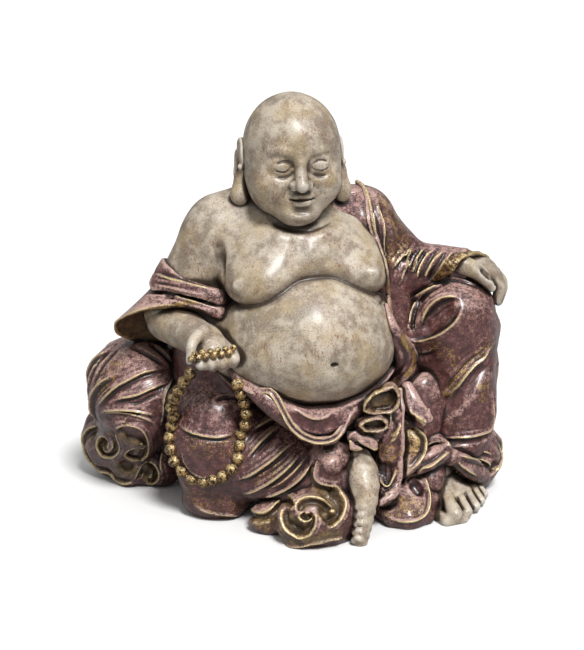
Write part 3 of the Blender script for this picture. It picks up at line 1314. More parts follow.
def sash_tail():
    clay = Clay((18, -90, 0), (70, -34, 96), FINE)
    clay.add(band(TAIL_SPINE, (5, 7.5, 6.5, 5, 5), 5.0))
    clay.crease(TAIL_RECESS, 5.0, 3.0, 2.0)
    for path, under, gold in TAIL_EDGES:
        clay.fold(path, 1.6, 1.5, under, 2.4, gold)
    clay.add(rope(TAIL_RIDGE, (1.2, 1.6, 1.4, 1.7, 1.5, 2.1, 2.8, 2.2)), 1.2)
    clay.paint("gild", tube(course(TAIL_RIDGE) + PHOTO.right * 1.6, 0.7), 0.5, 0.8)
    clay.streak("brocade", TAIL_BROCADE, 4, 0.8, 5)
    return clay


# The panels and hems at the foot of the robe
FLAP_SPINE = [(407, 386, -52), (411, 398, -57.5), (416, 410, -61.5), (421, 423, -64.5)]
FLAP_FOOT = (420, 420.5, -64)
FLAP_EDGE = [(407.5, 402), (409, 412), (415, 416.5), (422, 421), (431, 427)]
PANEL_SPINE = [(414, 434, -59), (415.5, 446, -62), (413, 459, -65), (408, 472, -68)]
PANEL_EDGE = [
    (404, 422), (409.5, 425), (416.5, 429.5), (422.5, 434.5), (425.5, 441), (425, 449), (422.5, 456),
    (417.5, 463), (411, 470), (406.5, 476),
]
PANEL_BROCADE = [(411, 450), (415, 457), (409, 466)]


def front_panel():
    clay = Clay((20, -84, 0), (96, -14, 96), MEDIUM)
    clay.add(band(FLAP_SPINE, (3.2, 4.8, 6.4, 8.4), 2.6))
    clay.cut(beyond(deep(*FLAP_FOOT), PHOTO.right * -0.53 - PHOTO.up * 0.85), 0.4)
    clay.add(limb(deep(414, 404, -57), (66, -36, 58), 3.5, 8), 1)
    clay.add(ellipsoid((72, -34, 46), (18, 14, 34), (0, 8, 0)), 1)
    clay.add(ellipsoid((48, -46, 30), (19, 15, 34)), 1)
    clay.add(band(PANEL_SPINE, (6.2, 6.0, 4.8, 1.8), 3.4), 1)
    clay.fold(shifted(FLAP_EDGE, -1.5), 1.2, 0.8, gold=0.9)
    clay.fold(PANEL_EDGE, 1.4, 1.2, 1, 2.0, 0.8)
    clay.streak("brocade", PANEL_BROCADE, 5, 0.8, 5)
    return clay


FOOT_FLAP_SPINE = [(447, 450, -60), (438, 455, -63), (428, 461, -65), (419, 468, -66)]
FOOT_FLAP_TOP = [(421, 452), (430, 445), (440, 443), (449, 446), (454, 452)]
FOOT_FLAP_LOW = [(453, 451), (446, 453), (439, 459), (431, 465), (422, 468), (415, 474)]
FOOT_ROLL = [(452, 456, -60), (462, 463, -57), (472, 470, -52), (481, 476, -46)]
FOOT_ROLL_LINES = [
    [(455, 460), (463, 467), (472, 473), (479, 477)],
    [(459, 455), (468, 459), (477, 461), (484, 466)],
]


def foot_fold():
    clay = Clay((48, -86, 4), (136, -22, 62), FINE)
    clay.add(limb((78, -46, 36), (70, -58, 20), 9, 9))
    clay.add(rope(FOOT_FLAP_SPINE, (3.6, 6.2, 6.0, 3.4)), 3)
    clay.add(ball(deep(451, 458, -61), 4.6), 1.0)
    clay.add(rope(FOOT_ROLL, (4.5, 6.0, 6.5, 6.0)), 2)
    clay.fold(FOOT_FLAP_TOP, 1.5, 1.4, gold=0.3)
    clay.fold(FOOT_FLAP_LOW, 1.5, 1.4, 1, 1.8, 1.0)
    clay.folds(FOOT_ROLL_LINES, 1.4, 1.3, 1, 1.8, 0.6)
    return clay


def ruffle(clay, lips, pockets):
    """A scalloped hem: the cloth rises to each thin lip, and falls beyond it to a bare lining."""
    strokes = [(clay.trace(path), under) for path, under in lips]
    for path in pockets:
        clay.crease(path, 3.6, 4.0, 2.5, taper=0.1)
        clay.streak("lining", path, 4.5, 1.0, 2.0)
    for stroke, under in strokes:
        clay.drape(stroke, 2.0, 3.4, under, drop=0.9, hollow=2.8, gold=1.0, lining=1.0, taper=0.08)


# Of each lip: its path and its hollow side
LEFT_LIPS = [
    ([(146, 447), (138, 446), (130, 449), (125, 453), (127, 457), (136, 459), (144, 457.5), (148, 450),
      (146.5, 438), (141, 430), (131, 426), (120, 426.5), (115, 432)], -1),
    ([(115, 431), (116.5, 438), (120, 446), (116, 455), (107, 457.5), (99.5, 452), (97, 444),
      (102, 435.5), (108, 437.5), (109.5, 444), (105, 449)], 1),
    ([(99, 425), (93, 427), (86, 432), (81, 443), (84, 457), (91, 466.5), (101, 470.5), (111, 474),
      (118, 481), (127, 483), (135, 480)], -1),
    ([(135, 480), (139, 470), (145, 461), (152, 463), (158, 471), (158, 480), (151, 483),
      (146, 478)], 1),
]
LEFT_POCKETS = [
    [(128, 436), (139, 440)],
    [(101, 443), (104, 447)],
    [(122, 466), (131, 468)],
    [(149, 472), (151, 476)],
]
LEFT_ROLL_LINES = [
    [(96, 417), (108, 413), (124, 413), (140, 417), (153, 423), (158, 432)],
    [(124, 424), (128, 417), (138, 415)],
    [(166, 436), (162, 450), (160, 464), (163, 476)],
]
LEFT_SCROLL_BACK_FOLDS = [
    [(-112, 30), (-106, 18), (-104, 6)],
    [(-100, 42), (-92, 26), (-88, 8)],
    [(-82, 44), (-76, 26), (-74, 8)],
]


def left_scrolls():
    clay = Clay((-124, -8, 0), (-48, 76, 84), FINE)
    clay.add(ellipsoid((-100, 50, 25), (16.5, 18, 22)))
    clay.add(ellipsoid((-88, 35, 18), (17, 15, 20)), 3)
    clay.add(ellipsoid((-72, 27, 14), (13, 12, 15)), 3)
    clay.add(limb((-86, 24, 54), (-92, 48, 16), 26, 18), 3)
    ruffle(clay, LEFT_LIPS, LEFT_POCKETS)
    clay.folds(LEFT_ROLL_LINES, 1.8, 1.2, 1, 1.6, 0.3)
    clay.folds(LEFT_SCROLL_BACK_FOLDS, 2.2, 1.6, 1, 1.8, 0.5, eye=BACK)
    return clay


CENTRE_LIPS = [
    ([(322, 450), (318, 461), (314.5, 472), (316, 480), (323, 484.5), (334, 487), (341, 493), (345, 504),
      (342, 516), (334, 525), (327, 529)], 1),
    ([(296, 512), (297.5, 504), (303, 499.5), (312, 497.5), (321, 499), (329, 503), (334, 508)], 1),
    ([(247, 505), (252, 511.5), (261, 514), (270, 510.5), (278, 503), (286, 497), (293, 499.5),
      (296, 507)], 1),
    ([(286, 506), (282, 514), (283, 524), (289, 532), (299, 537.5), (308, 535.5), (314, 527),
      (315.5, 517), (311, 511)], -1),
    ([(298, 515), (303, 521), (311, 520), (312, 513)], -1),
    ([(284, 542), (297, 545), (309, 543), (321, 541), (331, 538.5), (343, 537)], 0),
]
CENTRE_POCKETS = [[(293, 522), (300, 528)], [(325, 494), (336, 504)], [(322, 512), (328, 518)]]
CENTRE_BROCADE = [(262, 522), (270, 524), (280, 532)]


def centre_scrolls():
    clay = Clay((-50, -100, 0), (32, -34, 56), FINE)
    clay.add(ellipsoid((-3, -72, 11), (26, 18, 20)))
    clay.add(ellipsoid((-18, -54, 7), (22, 13.5, 12)), 4)
    clay.add(ellipsoid(deep(326, 476, -68), (9, 9, 12)), 4)
    clay.add(ellipsoid(deep(331, 508, -76), (9, 7, 12)), 3)
    clay.add(ball(deep(331, 465, -73), 6.6), 1)
    ruffle(clay, CENTRE_LIPS, CENTRE_POCKETS)
    clay.streak("brocade", CENTRE_BROCADE, 4, 1.0, 4)
    return clay


RIGHT_HEM_LOBE = [(384, 511, 6), (395, 516, 5), (408, 517, 5), (420, 512, 6), (428, 503, 9)]
RIGHT_HEM_EDGE = [
    (379, 509), (386, 516), (398, 520.5), (412, 521), (423, 516), (428, 508), (429, 498), (427, 488),
    (422, 478), (414, 476), (405, 481), (408, 490), (417, 496),
]
RIGHT_HEM_STRIPS = [
    [(376, 500), (384, 500), (391, 497), (397, 492)],
    [(378, 506), (388, 504), (396, 500)],
]
RIGHT_HEM_POCKET = [(414, 484), (420, 492)]
RIGHT_HEM_BROCADE = [(394, 508), (406, 505), (418, 508)]


def hem_front_right():
    clay = Clay((12, -96, 0), (92, -30, 40), FINE)
    clay.add(ellipsoid((56, -56, 8), (20, 18, 15)))
    clay.add(tube(posts(RIGHT_HEM_LOBE), [6, 8, 9, 9, 7]), 4)
    clay.add(ellipsoid(high(417, 490, 16), (8, 8, 9)), 3)
    clay.folds(RIGHT_HEM_STRIPS, 1.4, 1.2, 1, 1.6, 0.8)
    clay.crease(RIGHT_HEM_POCKET, 3.6, 4.0, 1.6, taper=0.1)
    clay.fold(RIGHT_HEM_EDGE, 1.5, 1.5, gold=1.0)
    clay.streak("brocade", RIGHT_HEM_BROCADE, 5, 1.0, 3)
    return clay


CORNER_FOLDS = [
    ([(491, 440), (499, 444), (503, 452), (501, 463), (494, 472), (487, 479)], 1.8, 1.4, 1, 0.9),
    ([(436, 440), (455, 444), (474, 444), (489, 441)], 1.6, 1.4, 1, 0.3),
    ([(452, 450), (468, 452), (484, 452), (494, 457)], 1.6, 1.4, 1, 0.6),
    ([(470, 459), (480, 460), (489, 464), (490, 471)], 1.6, 1.4, 1, 0.9),
]
CORNER_SIDE_FOLDS = [
    [(-38, 36), (-30, 22), (-28, 6)],
    [(-20, 42), (-14, 24), (-12, 6)],
    [(-2, 36), (2, 20), (2, 6)],
    [(12, 32), (16, 18), (14, 5)],
]
CORNER_POCKET = [(494, 464), (494, 470)]


def right_corner():
    clay = Clay((78, -62, 0), (140, 34, 56), FINE)
    clay.add(ellipsoid((105, -28, 20), (21.5, 22, 24)))
    clay.add(ellipsoid((105, 0, 17), (21, 23, 19)), 4)
    clay.varied_folds(CORNER_FOLDS, 2.2)
    clay.folds(CORNER_SIDE_FOLDS, 2.4, 1.9, 1, 2.2, 0.5, eye=LEFT_SIDE)
    clay.crease(CORNER_POCKET, 4, 4, 2, taper=0.1)
    return clay


# The mantle down the back
MANTLE_EDGE = (-58, 20, 124)
MANTLE_EDGE_UP = (-0.55, 0, 0.84)
MANTLE_HEM = [(-66, 119), (-50, 129), (-30, 142), (-10, 155), (10, 168), (28, 180)]
MANTLE_FOLDS = [
    [(52, 168), (34, 150), (8, 132), (-24, 114), (-56, 98)],
    [(64, 150), (44, 128), (14, 106), (-20, 88), (-58, 74)],
    [(70, 128), (54, 104), (28, 82), (-4, 66), (-44, 52)],
    [(74, 100), (62, 78), (40, 58), (10, 44), (-28, 32)],
    [(40, 172), (20, 154), (-6, 138), (-34, 122)],
]
SKIRT_FOLDS = [
    [(-70, 66), (-76, 44), (-78, 22), (-76, 4)],
    [(-48, 50), (-54, 34), (-56, 18), (-54, 4)],
    [(-24, 34), (-28, 22), (-30, 12), (-29, 3)],
    [(6, 34), (6, 22), (5, 12), (4, 3)],
    [(34, 48), (36, 32), (36, 16), (34, 3)],
    [(60, 64), (62, 44), (62, 22), (60, 4)],
]


def robe_back():
    clay = Clay((-88, -10, 0), (90, 76, 200), COARSE)
    clay.add(ellipsoid(BACK_CENTRE, grown(BACK_RADII, 3.5)))
    clay.add(ellipsoid(CHEST_CENTRE, grown(CHEST_RADII, 3.5)), 4)
    clay.add(limb(moved(NECK, 0, 0, -14), LEFT_SHOULDER, 21.5, 21.5), 6)
    clay.cut(beyond(MANTLE_EDGE, MANTLE_EDGE_UP), 1.5)
    clay.cut(beyond((0, -4, 0), (0, -1, 0)), 1.5)
    skirt = (2, 22, 58)
    clay.add(ellipsoid(skirt, (82, 46, 56)), 6)
    clay.add(ellipsoid(moved(skirt, 0, 8, -28), (78, 44, 34)), 6)
    for paths, height, width, gold in ((MANTLE_FOLDS, 3.6, 6.5, 0.5), (SKIRT_FOLDS, 3.4, 6.0, 0.4)):
        for path in paths:
            clay.drape(clay.trace(path, BACK), height, width, 1, 2.0, 1.4, gold)
    clay.fold(MANTLE_HEM, 2.6, 1.6, gold=1.0, eye=BACK)
    return clay


# The beads
BEADS = 24
BEAD_RADIUS = 3.65
BEAD_RINGS, BEAD_SIDES = ((20, 28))
# As shares of the bead's radius
BORE_RADIUS = 0.16
BORE_HOLLOW = 0.72
DENT = 0.035
CHASING_DEPTH = 0.05
# From the waist of the bead, in radians
CHASING_PLACE = 0.42
CHASING_WIDTH = 0.09
STRING_RADIUS = 0.9
HAND_BEADS = 12
HAND_BEAD_RADIUS = 1.95
HAND_BEAD_STAGGER = 1.2


def node_centre(node):
    low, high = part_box(node)
    return np.array((low + high) / 2) / MM - FIGURE_ZERO


def bead_mesh(name, centre, way, seed):
    """A turned bead: a round body with a hollow at each end of its bore, and chased rings."""
    phases = np.random.default_rng(seed).uniform(0, 6.28, 3)
    way = unit(way)
    side = unit(np.cross(way, (0.3, 0.2, 1.0)))
    up = np.cross(way, side)
    vertices, faces = [], []
    for i in range(BEAD_RINGS + 1):
        polar = math.pi * i / BEAD_RINGS
        for j in range(BEAD_SIDES):
            turn = 2 * math.pi * j / BEAD_SIDES
            dent = DENT * math.sin(3 * turn + phases[0]) * math.sin(2 * polar + phases[1])
            ring = (abs(polar - math.pi / 2) - CHASING_PLACE) / CHASING_WIDTH
            reach = BEAD_RADIUS * (1 + dent - CHASING_DEPTH * math.exp(-ring**2))
            bore = BORE_HOLLOW if i in (0, BEAD_RINGS) else 1.0
            wide = max(reach * math.sin(polar), BORE_RADIUS * BEAD_RADIUS)
            spot = way * math.cos(polar) * reach * bore
            vertices.append(centre + (spot + wide * (math.cos(turn) * side + math.sin(turn) * up)))
    for i in range(BEAD_RINGS):
        for j in range(BEAD_SIDES):
            k = (j + 1) % BEAD_SIDES
            a, b = i * BEAD_SIDES, (i + 1) * BEAD_SIDES
            faces.append((a + j, b + j, b + k, a + k))
    faces.append(tuple(range(BEAD_SIDES)))
    faces.append(tuple(BEAD_RINGS * BEAD_SIDES + j for j in reversed(range(BEAD_SIDES))))
    return mesh_object(name, np.array(vertices), faces)


def bead_string(spots):
    clay = Clay(spots.min(0) - 4, spots.max(0) + 4, FINE)
    clay.add(tube(smooth_path(spots, 3.0), STRING_RADIUS))
    return clay


def hand_beads():
    """The beads across the fingers, in two staggered rows in the space of their CAD node."""
    low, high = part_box("hand_beads")
    low, high = np.array(low) / MM - FIGURE_ZERO, np.array(high) / MM - FIGURE_ZERO
    start = low + HAND_BEAD_RADIUS + 0.4
    end = high - HAND_BEAD_RADIUS - 0.4
    clay = Clay(low - 3, high + 3, FINE * 0.6)
    for i in range(HAND_BEADS):
        share = i / (HAND_BEADS - 1)
        x = start[0] + (end[0] - start[0]) * share
        z = start[2] + (end[2] - start[2]) * share
        spot = (x, (start[1] + end[1]) / 2, z) + PHOTO.up * (1 if i % 2 else -1) * HAND_BEAD_STAGGER
        clay.add(ball(spot, HAND_BEAD_RADIUS), 0.2)
    return clay


# Skinning the clay
def placed(name, data):
    """A new object in the scene."""
    made = bpy.data.objects.new(name, data)
    bpy.context.scene.collection.objects.link(made)
    return made


def mesh_object(name, vertices, faces):
    """A smooth-shaded mesh in the row frame, from vertices in the figure's frame."""
    mesh = bpy.data.meshes.new(name)
    mesh.from_pydata(((vertices + FIGURE_ZERO) * MM).tolist(), [], [list(f) for f in faces])
    mesh.validate()
    mesh.shade_smooth()
    return placed(name, mesh)


def largest_shell(count, quads):
    """Which vertices belong to the largest connected surface."""
    label = np.arange(count)
    a, b = quads[:, [0, 1, 2, 3]].ravel(), quads[:, [1, 2, 3, 0]].ravel()
    while True:
        low = np.minimum(label[a], label[b])
        new = label.copy()
        np.minimum.at(new, a, low)
        np.minimum.at(new, b, low)
        new = new[new]
        if (new == label).all():
            return label == np.bincount(label).argmax()
        label = new


def whole_of(clays, cell=2.0):
    """All the clays together on a coarse grid, for the shade in the hollows between pieces."""
    spans = [clay.span() for clay in clays]
    low = np.min([s[0] for s in spans], axis=0) - 4
    high = np.max([s[1] for s in spans], axis=0) + 4
    grid = Clay(low, high, cell)
    for clay in clays:
        start, stop = grid.window(clay.low - 8, clay.span()[1] + 8)
        shape = tuple(stop - start)
        axes = [np.broadcast_to(a, shape).ravel() for a in grid.axes(start, stop)]
        values = clay.sample(clay.inward(np.stack(axes, -1).astype(float))).reshape(shape)
        where = block(start, stop)
        grid.field[where] = np.minimum(grid.field[where], values)
    return grid


LAYERS = ("gild", "brocade", "lining", "wash")
SPREAD = unit([(1, 0, 0), (-1, 0, 0), (0, 1, 0), (0, -1, 0), (0, 0, 1), (0, 0, -1)]
              + [(i, j, k) for i in (-1, 1) for j in (-1, 1) for k in (-1, 1)])


def roundness(sample, points, radius):
    """How far the surface bulges (over 0) or is hollow (under 0) at this scale."""
    total = np.zeros(len(points))
    for direction in SPREAD:
        total += np.clip(sample(points + direction * radius), -radius, radius)
    return total / (len(SPREAD) * radius)


def skinned(name, clay, whole):
    """The mesh of a clay, with its paint as attributes."""
    vertices, quads = clay.surface()
    kept = largest_shell(len(vertices), quads)
    quads = quads[kept[quads[:, 0]]]
    number = np.cumsum(kept) - 1
    vertices, quads = vertices[kept], number[quads]
    normals = clay.normals(vertices) @ clay.turn.T
    world = clay.outward(vertices)
    made = mesh_object(name, world, quads)
    open_near = whole.sample(world + normals * 2.5) / 2.5
    open_far = whole.sample(world + normals * 6.0) / 6.0
    values = {
        "ridge": roundness(clay.sample, vertices, 1.5) * 4,
        "swell": roundness(clay.sample, vertices, 4.0) * 3,
        "shade": 1 - np.clip(0.5 * open_near + 0.5 * open_far, 0, 1),
    }
    for layer in LAYERS:
        grid = clay.layers.get(layer)
        values[layer] = np.zeros(len(world)) if grid is None else clay.sample(vertices, grid)
    for key, value in values.items():
        attribute = made.data.attributes.new(key, "FLOAT", "POINT")
        attribute.data.foreach_set("value", value.astype(np.float32))
    return made


# Paint
def linear(red, green, blue):
    """A colour as it is seen, 0 to 255, as the linear values that shaders take."""
    shares = [value / 255 for value in (red, green, blue)]
    return (*(c / 12.92 if c <= 0.04045 else ((c + 0.055) / 1.055) ** 2.4 for c in shares), 1.0)


CREAM = linear(202, 188, 168)
STONE = linear(148, 132, 114)
CHALK = linear(238, 231, 218)
OCHRE = linear(188, 164, 120)
RUST = linear(140, 88, 70)
UMBER = linear(58, 44, 34)
PLUM = linear(118, 72, 70)
DEEP_PLUM = linear(74, 40, 38)
DUST = linear(214, 176, 164)
BURNT = linear(26, 14, 11)
OLIVE = linear(128, 102, 64)
DARK_OLIVE = linear(72, 54, 34)
GOLD = linear(190, 150, 88)
PALE_GOLD = linear(244, 220, 168)
OLD_GOLD = linear(104, 74, 36)
RUBBED_GILDING = 0.8  # how much gilding lies on the cloth's ridges and in its worn patches


class Nodes:
    """Short ways to make and join the nodes of a tree."""

    def __init__(self, owner):
        owner.use_nodes = True
        self.nodes = owner.node_tree.nodes
        self.links = owner.node_tree.links

    def node(self, kind, inputs, **settings):
        made = self.nodes.new(kind)
        for key, value in settings.items():
            setattr(made, key, value)
        return self.fill(made, inputs)

    def fill(self, made, inputs):
        for key, value in inputs.items():
            if isinstance(value, bpy.types.NodeSocket):
                self.links.new(value, made.inputs[key])
            else:
                made.inputs[key].default_value = value
        return made

    def camera_ray(self):
        return self.node("ShaderNodeLightPath", {}).outputs["Is Camera Ray"]


class Paint(Nodes):
    """A material that is laid coat over coat, from its first colour on."""

    def __init__(self, name, colour=None):
        self.material = bpy.data.materials.new(name)
        super().__init__(self.material)
        self.colour = colour
        self.place = self.node("ShaderNodeTexCoord", {}).outputs["Object"]

    def noise(self, size, detail=3.0, roughness=0.55, stretch=(1, 1, 1), turn=(0, 0, 0), shift=0.0):
        """Noise with features of about this size in millimetres."""
        inputs = {"Vector": self.place, "Scale": stretch, "Rotation": turn, "Location": (shift, 0, 0)}
        place = self.node("ShaderNodeMapping", inputs).outputs[0]
        inputs = {"Vector": place, "Scale": 1 / (size * MM), "Detail": detail, "Roughness": roughness}
        return self.node("ShaderNodeTexNoise", inputs).outputs[0]

    def above(self):
        """How far the surface faces up: dust settles there, and the dry brush catches it."""
        facing = self.node("ShaderNodeTexCoord", {}).outputs["Normal"]
        return self.node("ShaderNodeSeparateXYZ", {0: facing}).outputs[2]

    def attribute(self, name):
        return self.node("ShaderNodeAttribute", {}, attribute_name=name).outputs["Fac"]

    def step(self, value, low, high, top=1.0):
        """0 under low, top over high, and smooth between."""
        inputs = {"Value": value, "From Min": low, "From Max": high, "To Max": top}
        return self.node("ShaderNodeMapRange", inputs, interpolation_type="SMOOTHSTEP").outputs[0]

    def maths(self, operation, *values):
        return self.node("ShaderNodeMath", dict(enumerate(values)), operation=operation).outputs[0]

    def sum(self, a, b, times=1.0):
        """a + b * times"""
        return self.maths("MULTIPLY_ADD", b, times, a)

    def vary(self, a, noise, times=1.0):
        """a, made more or less by a noise"""
        return self.sum(a, self.sum(noise, -0.5), times)

    def times(self, a, b):
        return self.maths("MULTIPLY", a, b)

    def most(self, a, b):
        return self.maths("MAXIMUM", a, b)

    def mix(self, share, a, b):
        inputs = {0: share, 6: a, 7: b}
        return self.node("ShaderNodeMix", inputs, data_type="RGBA", clamp_factor=True).outputs[2]

    def cover(self, colour, share):
        self.colour = self.mix(share, self.colour, colour)

    def lay(self, colour, value, low, high, top=1.0):
        """Covers the paint where a value lies beyond low, and by top where it lies beyond high."""
        self.cover(colour, self.step(value, low, high, top))

    def bump(self, height, depth):
        """A bump of this depth in millimetres."""
        inputs = {"Height": height, "Distance": depth * MM, "Strength": 1.0}
        return self.node("ShaderNodeBump", inputs).outputs[0]

    def done(self, roughness, **others):
        """Fills the shader: others are its sockets, with _ for the spaces in their names."""
        inputs = {"Base Color": self.colour, "Roughness": roughness}
        for key, value in others.items():
            inputs[key.replace("_", " ")] = value
        self.fill(self.nodes["Principled BSDF"], inputs)
        return self.material


def stone_paint():
    """Cream and grey paint over the bare body, rubbed through to rust in places, with a dark wash."""
    paint = Paint("stone_paint", STONE)
    broad, mottle, grain = paint.noise(30, 2), paint.noise(7, 4, 0.6), paint.noise(0.9, 3, 0.6)
    ridge, swell, shade = (paint.attribute(n) for n in ("ridge", "swell", "shade"))
    paint.lay(CREAM, paint.sum(mottle, broad, 0.6), 0.66, 0.96)
    paint.lay(OCHRE, paint.noise(18, 3, shift=9.0), 0.46, 0.66, 0.5)
    paint.lay(CHALK, paint.vary(paint.above(), mottle, 1.6), 0.1, 1.2, 0.08)
    paint.lay(CHALK, grain, 0.5, 0.75, 0.3)
    paint.lay(UMBER, grain, 0.47, 0.27, 0.5)
    where = paint.step(paint.noise(20, 2, shift=3.0), 0.48, 0.62)
    scratch = paint.noise(1.3, 4, 0.75, (1.0, 1.0, 0.45), (0.2, 0.5, 0.1), 5.0)
    paint.cover(RUST, paint.times(paint.step(scratch, 0.53, 0.64, 0.85), where))
    paint.lay(CHALK, paint.sum(ridge, swell, 0.5), 0.5, 1.4, 0.7)
    hollow = paint.sum(paint.step(shade, 0.16, 0.85), paint.step(ridge, -0.12, -0.8), 0.9)
    hollow = paint.most(paint.vary(hollow, mottle, 0.4), paint.attribute("wash"))
    paint.lay(UMBER, hollow, 0.05, 1.0, 0.93)
    roughness = paint.sum(0.34, paint.step(mottle, 0.3, 0.7, 0.16))
    normal = paint.bump(paint.sum(grain, mottle, 1.5), 0.2)
    return paint.done(roughness, Normal=normal, Coat_Weight=0.3, Coat_Roughness=0.22)


def gilt_colour(paint, mottle, grain, ridge, shade):
    colour = paint.mix(paint.step(mottle, 0.35, 0.65), OLD_GOLD, GOLD)
    bright = paint.vary(paint.sum(ridge, paint.above(), 0.5), grain, 3.0)
    colour = paint.mix(paint.step(bright, 0.25, 1.4, 0.95), colour, PALE_GOLD)
    hollow = paint.sum(paint.step(shade, 0.2, 0.75), paint.step(ridge, -0.1, -0.8), 1.0)
    return paint.mix(paint.step(paint.vary(hollow, grain, 1.2), 0.15, 0.9, 0.93), colour, BURNT)


def cloth_paint():
    """Plum lacquer with dusty ridges and dark hollows, gilded along its hems and in worn brocade."""
    paint = Paint("robe_paint", DEEP_PLUM)
    broad, mottle, grain = paint.noise(22, 2), paint.noise(4.5, 4, 0.65), paint.noise(0.8, 3, 0.65)
    pits = paint.noise(1.9, 4, 0.75, shift=4.0)
    ridge, swell, shade, lining = (paint.attribute(n) for n in ("ridge", "swell", "shade", "lining"))
    paint.lay(PLUM, mottle, 0.34, 0.66)
    raised = paint.sum(paint.sum(paint.times(ridge, 0.25), swell, 0.9), paint.above(), 0.75)
    speckle = paint.vary(pits, grain, 0.9)
    dust = paint.vary(paint.vary(raised, mottle, 1.6), speckle, 2.5)
    paint.lay(DUST, dust, 0.3, 1.35, 0.85)
    paint.lay(BURNT, speckle, 0.42, 0.28, 0.75)
    paint.lay(DUST, paint.vary(ridge, grain, 1.2), 0.6, 1.5, 0.6)
    paint.cover(paint.mix(paint.step(mottle, 0.34, 0.66), DARK_OLIVE, OLIVE), lining)
    hollow = paint.sum(paint.step(shade, 0.2, 0.78), paint.step(ridge, -0.1, -0.8), 0.9)
    hollow = paint.step(paint.vary(hollow, mottle, 0.7), 0.08, 0.95, 0.9)
    paint.cover(BURNT, paint.times(hollow, paint.sum(1.0, lining, -0.6)))
    leaf = paint.noise(2.2, 3, 0.8, shift=7.0)
    inputs = {"Vector": paint.place, "Scale": 1 / (3.0 * MM)}
    vein = paint.node("ShaderNodeTexVoronoi", inputs, feature="DISTANCE_TO_EDGE").outputs[0]
    veined = paint.times(paint.step(leaf, 0.4, 0.54), paint.step(vein, 0.2, 0.08))
    pattern = paint.most(veined, paint.step(leaf, 0.57, 0.63, 0.85))
    woven = paint.times(pattern, paint.attribute("brocade"))
    worn = paint.times(paint.step(leaf, 0.56, 0.68), paint.step(broad, 0.46, 0.6))
    rubbed = paint.step(ridge, 0.7, 1.5, RUBBED_GILDING)
    edge = paint.times(paint.attribute("gild"), paint.step(paint.sum(leaf, broad, 0.35), 0.42, 0.74))
    laid = paint.most(paint.most(edge, woven), paint.most(rubbed, paint.times(worn, RUBBED_GILDING)))
    laid = paint.step(paint.vary(laid, grain, 1.5), 0.42, 0.54)
    paint.cover(gilt_colour(paint, mottle, grain, ridge, shade), laid)
    roughness = paint.sum(paint.step(grain, 0.3, 0.7, 0.25), 0.26)
    relief = paint.sum(paint.sum(paint.sum(grain, pits, 1.6), mottle, 1.0), laid, 0.7)
    metal = paint.times(laid, 0.45)
    normal = paint.bump(relief, 0.34)
    return paint.done(roughness, Normal=normal, Metallic=metal, Coat_Weight=0.8, Coat_Roughness=0.24)


def gilt_paint():
    """Gilding over the plum ground, which shows where the leaf has worn off."""
    paint = Paint("gilt_paint")
    mottle, grain = paint.noise(3.2, 4, 0.7), paint.noise(0.8, 3, 0.65)
    ridge, shade = paint.attribute("ridge"), paint.attribute("shade")
    paint.colour = gilt_colour(paint, mottle, grain, ridge, shade)
    paint.lay(DEEP_PLUM, paint.sum(paint.noise(3, 4, 0.75, shift=2.0), ridge, -0.1), 0.46, 0.54, 0.9)
    roughness = paint.sum(paint.step(grain, 0.3, 0.7, 0.2), 0.24)
    normal = paint.bump(paint.sum(grain, mottle, 1.6), 0.34)
    return paint.done(roughness, Normal=normal, Metallic=0.35, Coat_Weight=0.25, Coat_Roughness=0.2)


def bead_paint():
    """Gold with dark pits."""
    paint = Paint("bead_gilding", OLD_GOLD)
    mottle, grain = paint.noise(2.0, 4, 0.7), paint.noise(0.8, 3, 0.6)
    paint.lay(GOLD, mottle, 0.4, 0.62)
    paint.lay(PALE_GOLD, paint.sum(grain, paint.above(), 0.12), 0.5, 0.66, 0.95)
    paint.lay(BURNT, mottle, 0.52, 0.4, 0.95)
    normal = paint.bump(paint.sum(grain, mottle, 1.8), 0.4)
    return paint.done(0.26, Normal=normal, Metallic=0.5, Coat_Weight=0.3, Coat_Roughness=0.2)


# Putting the figure together
SKIN = stone_paint()
ROBE = cloth_paint()
GILT = gilt_paint()
BRASS = bead_paint()

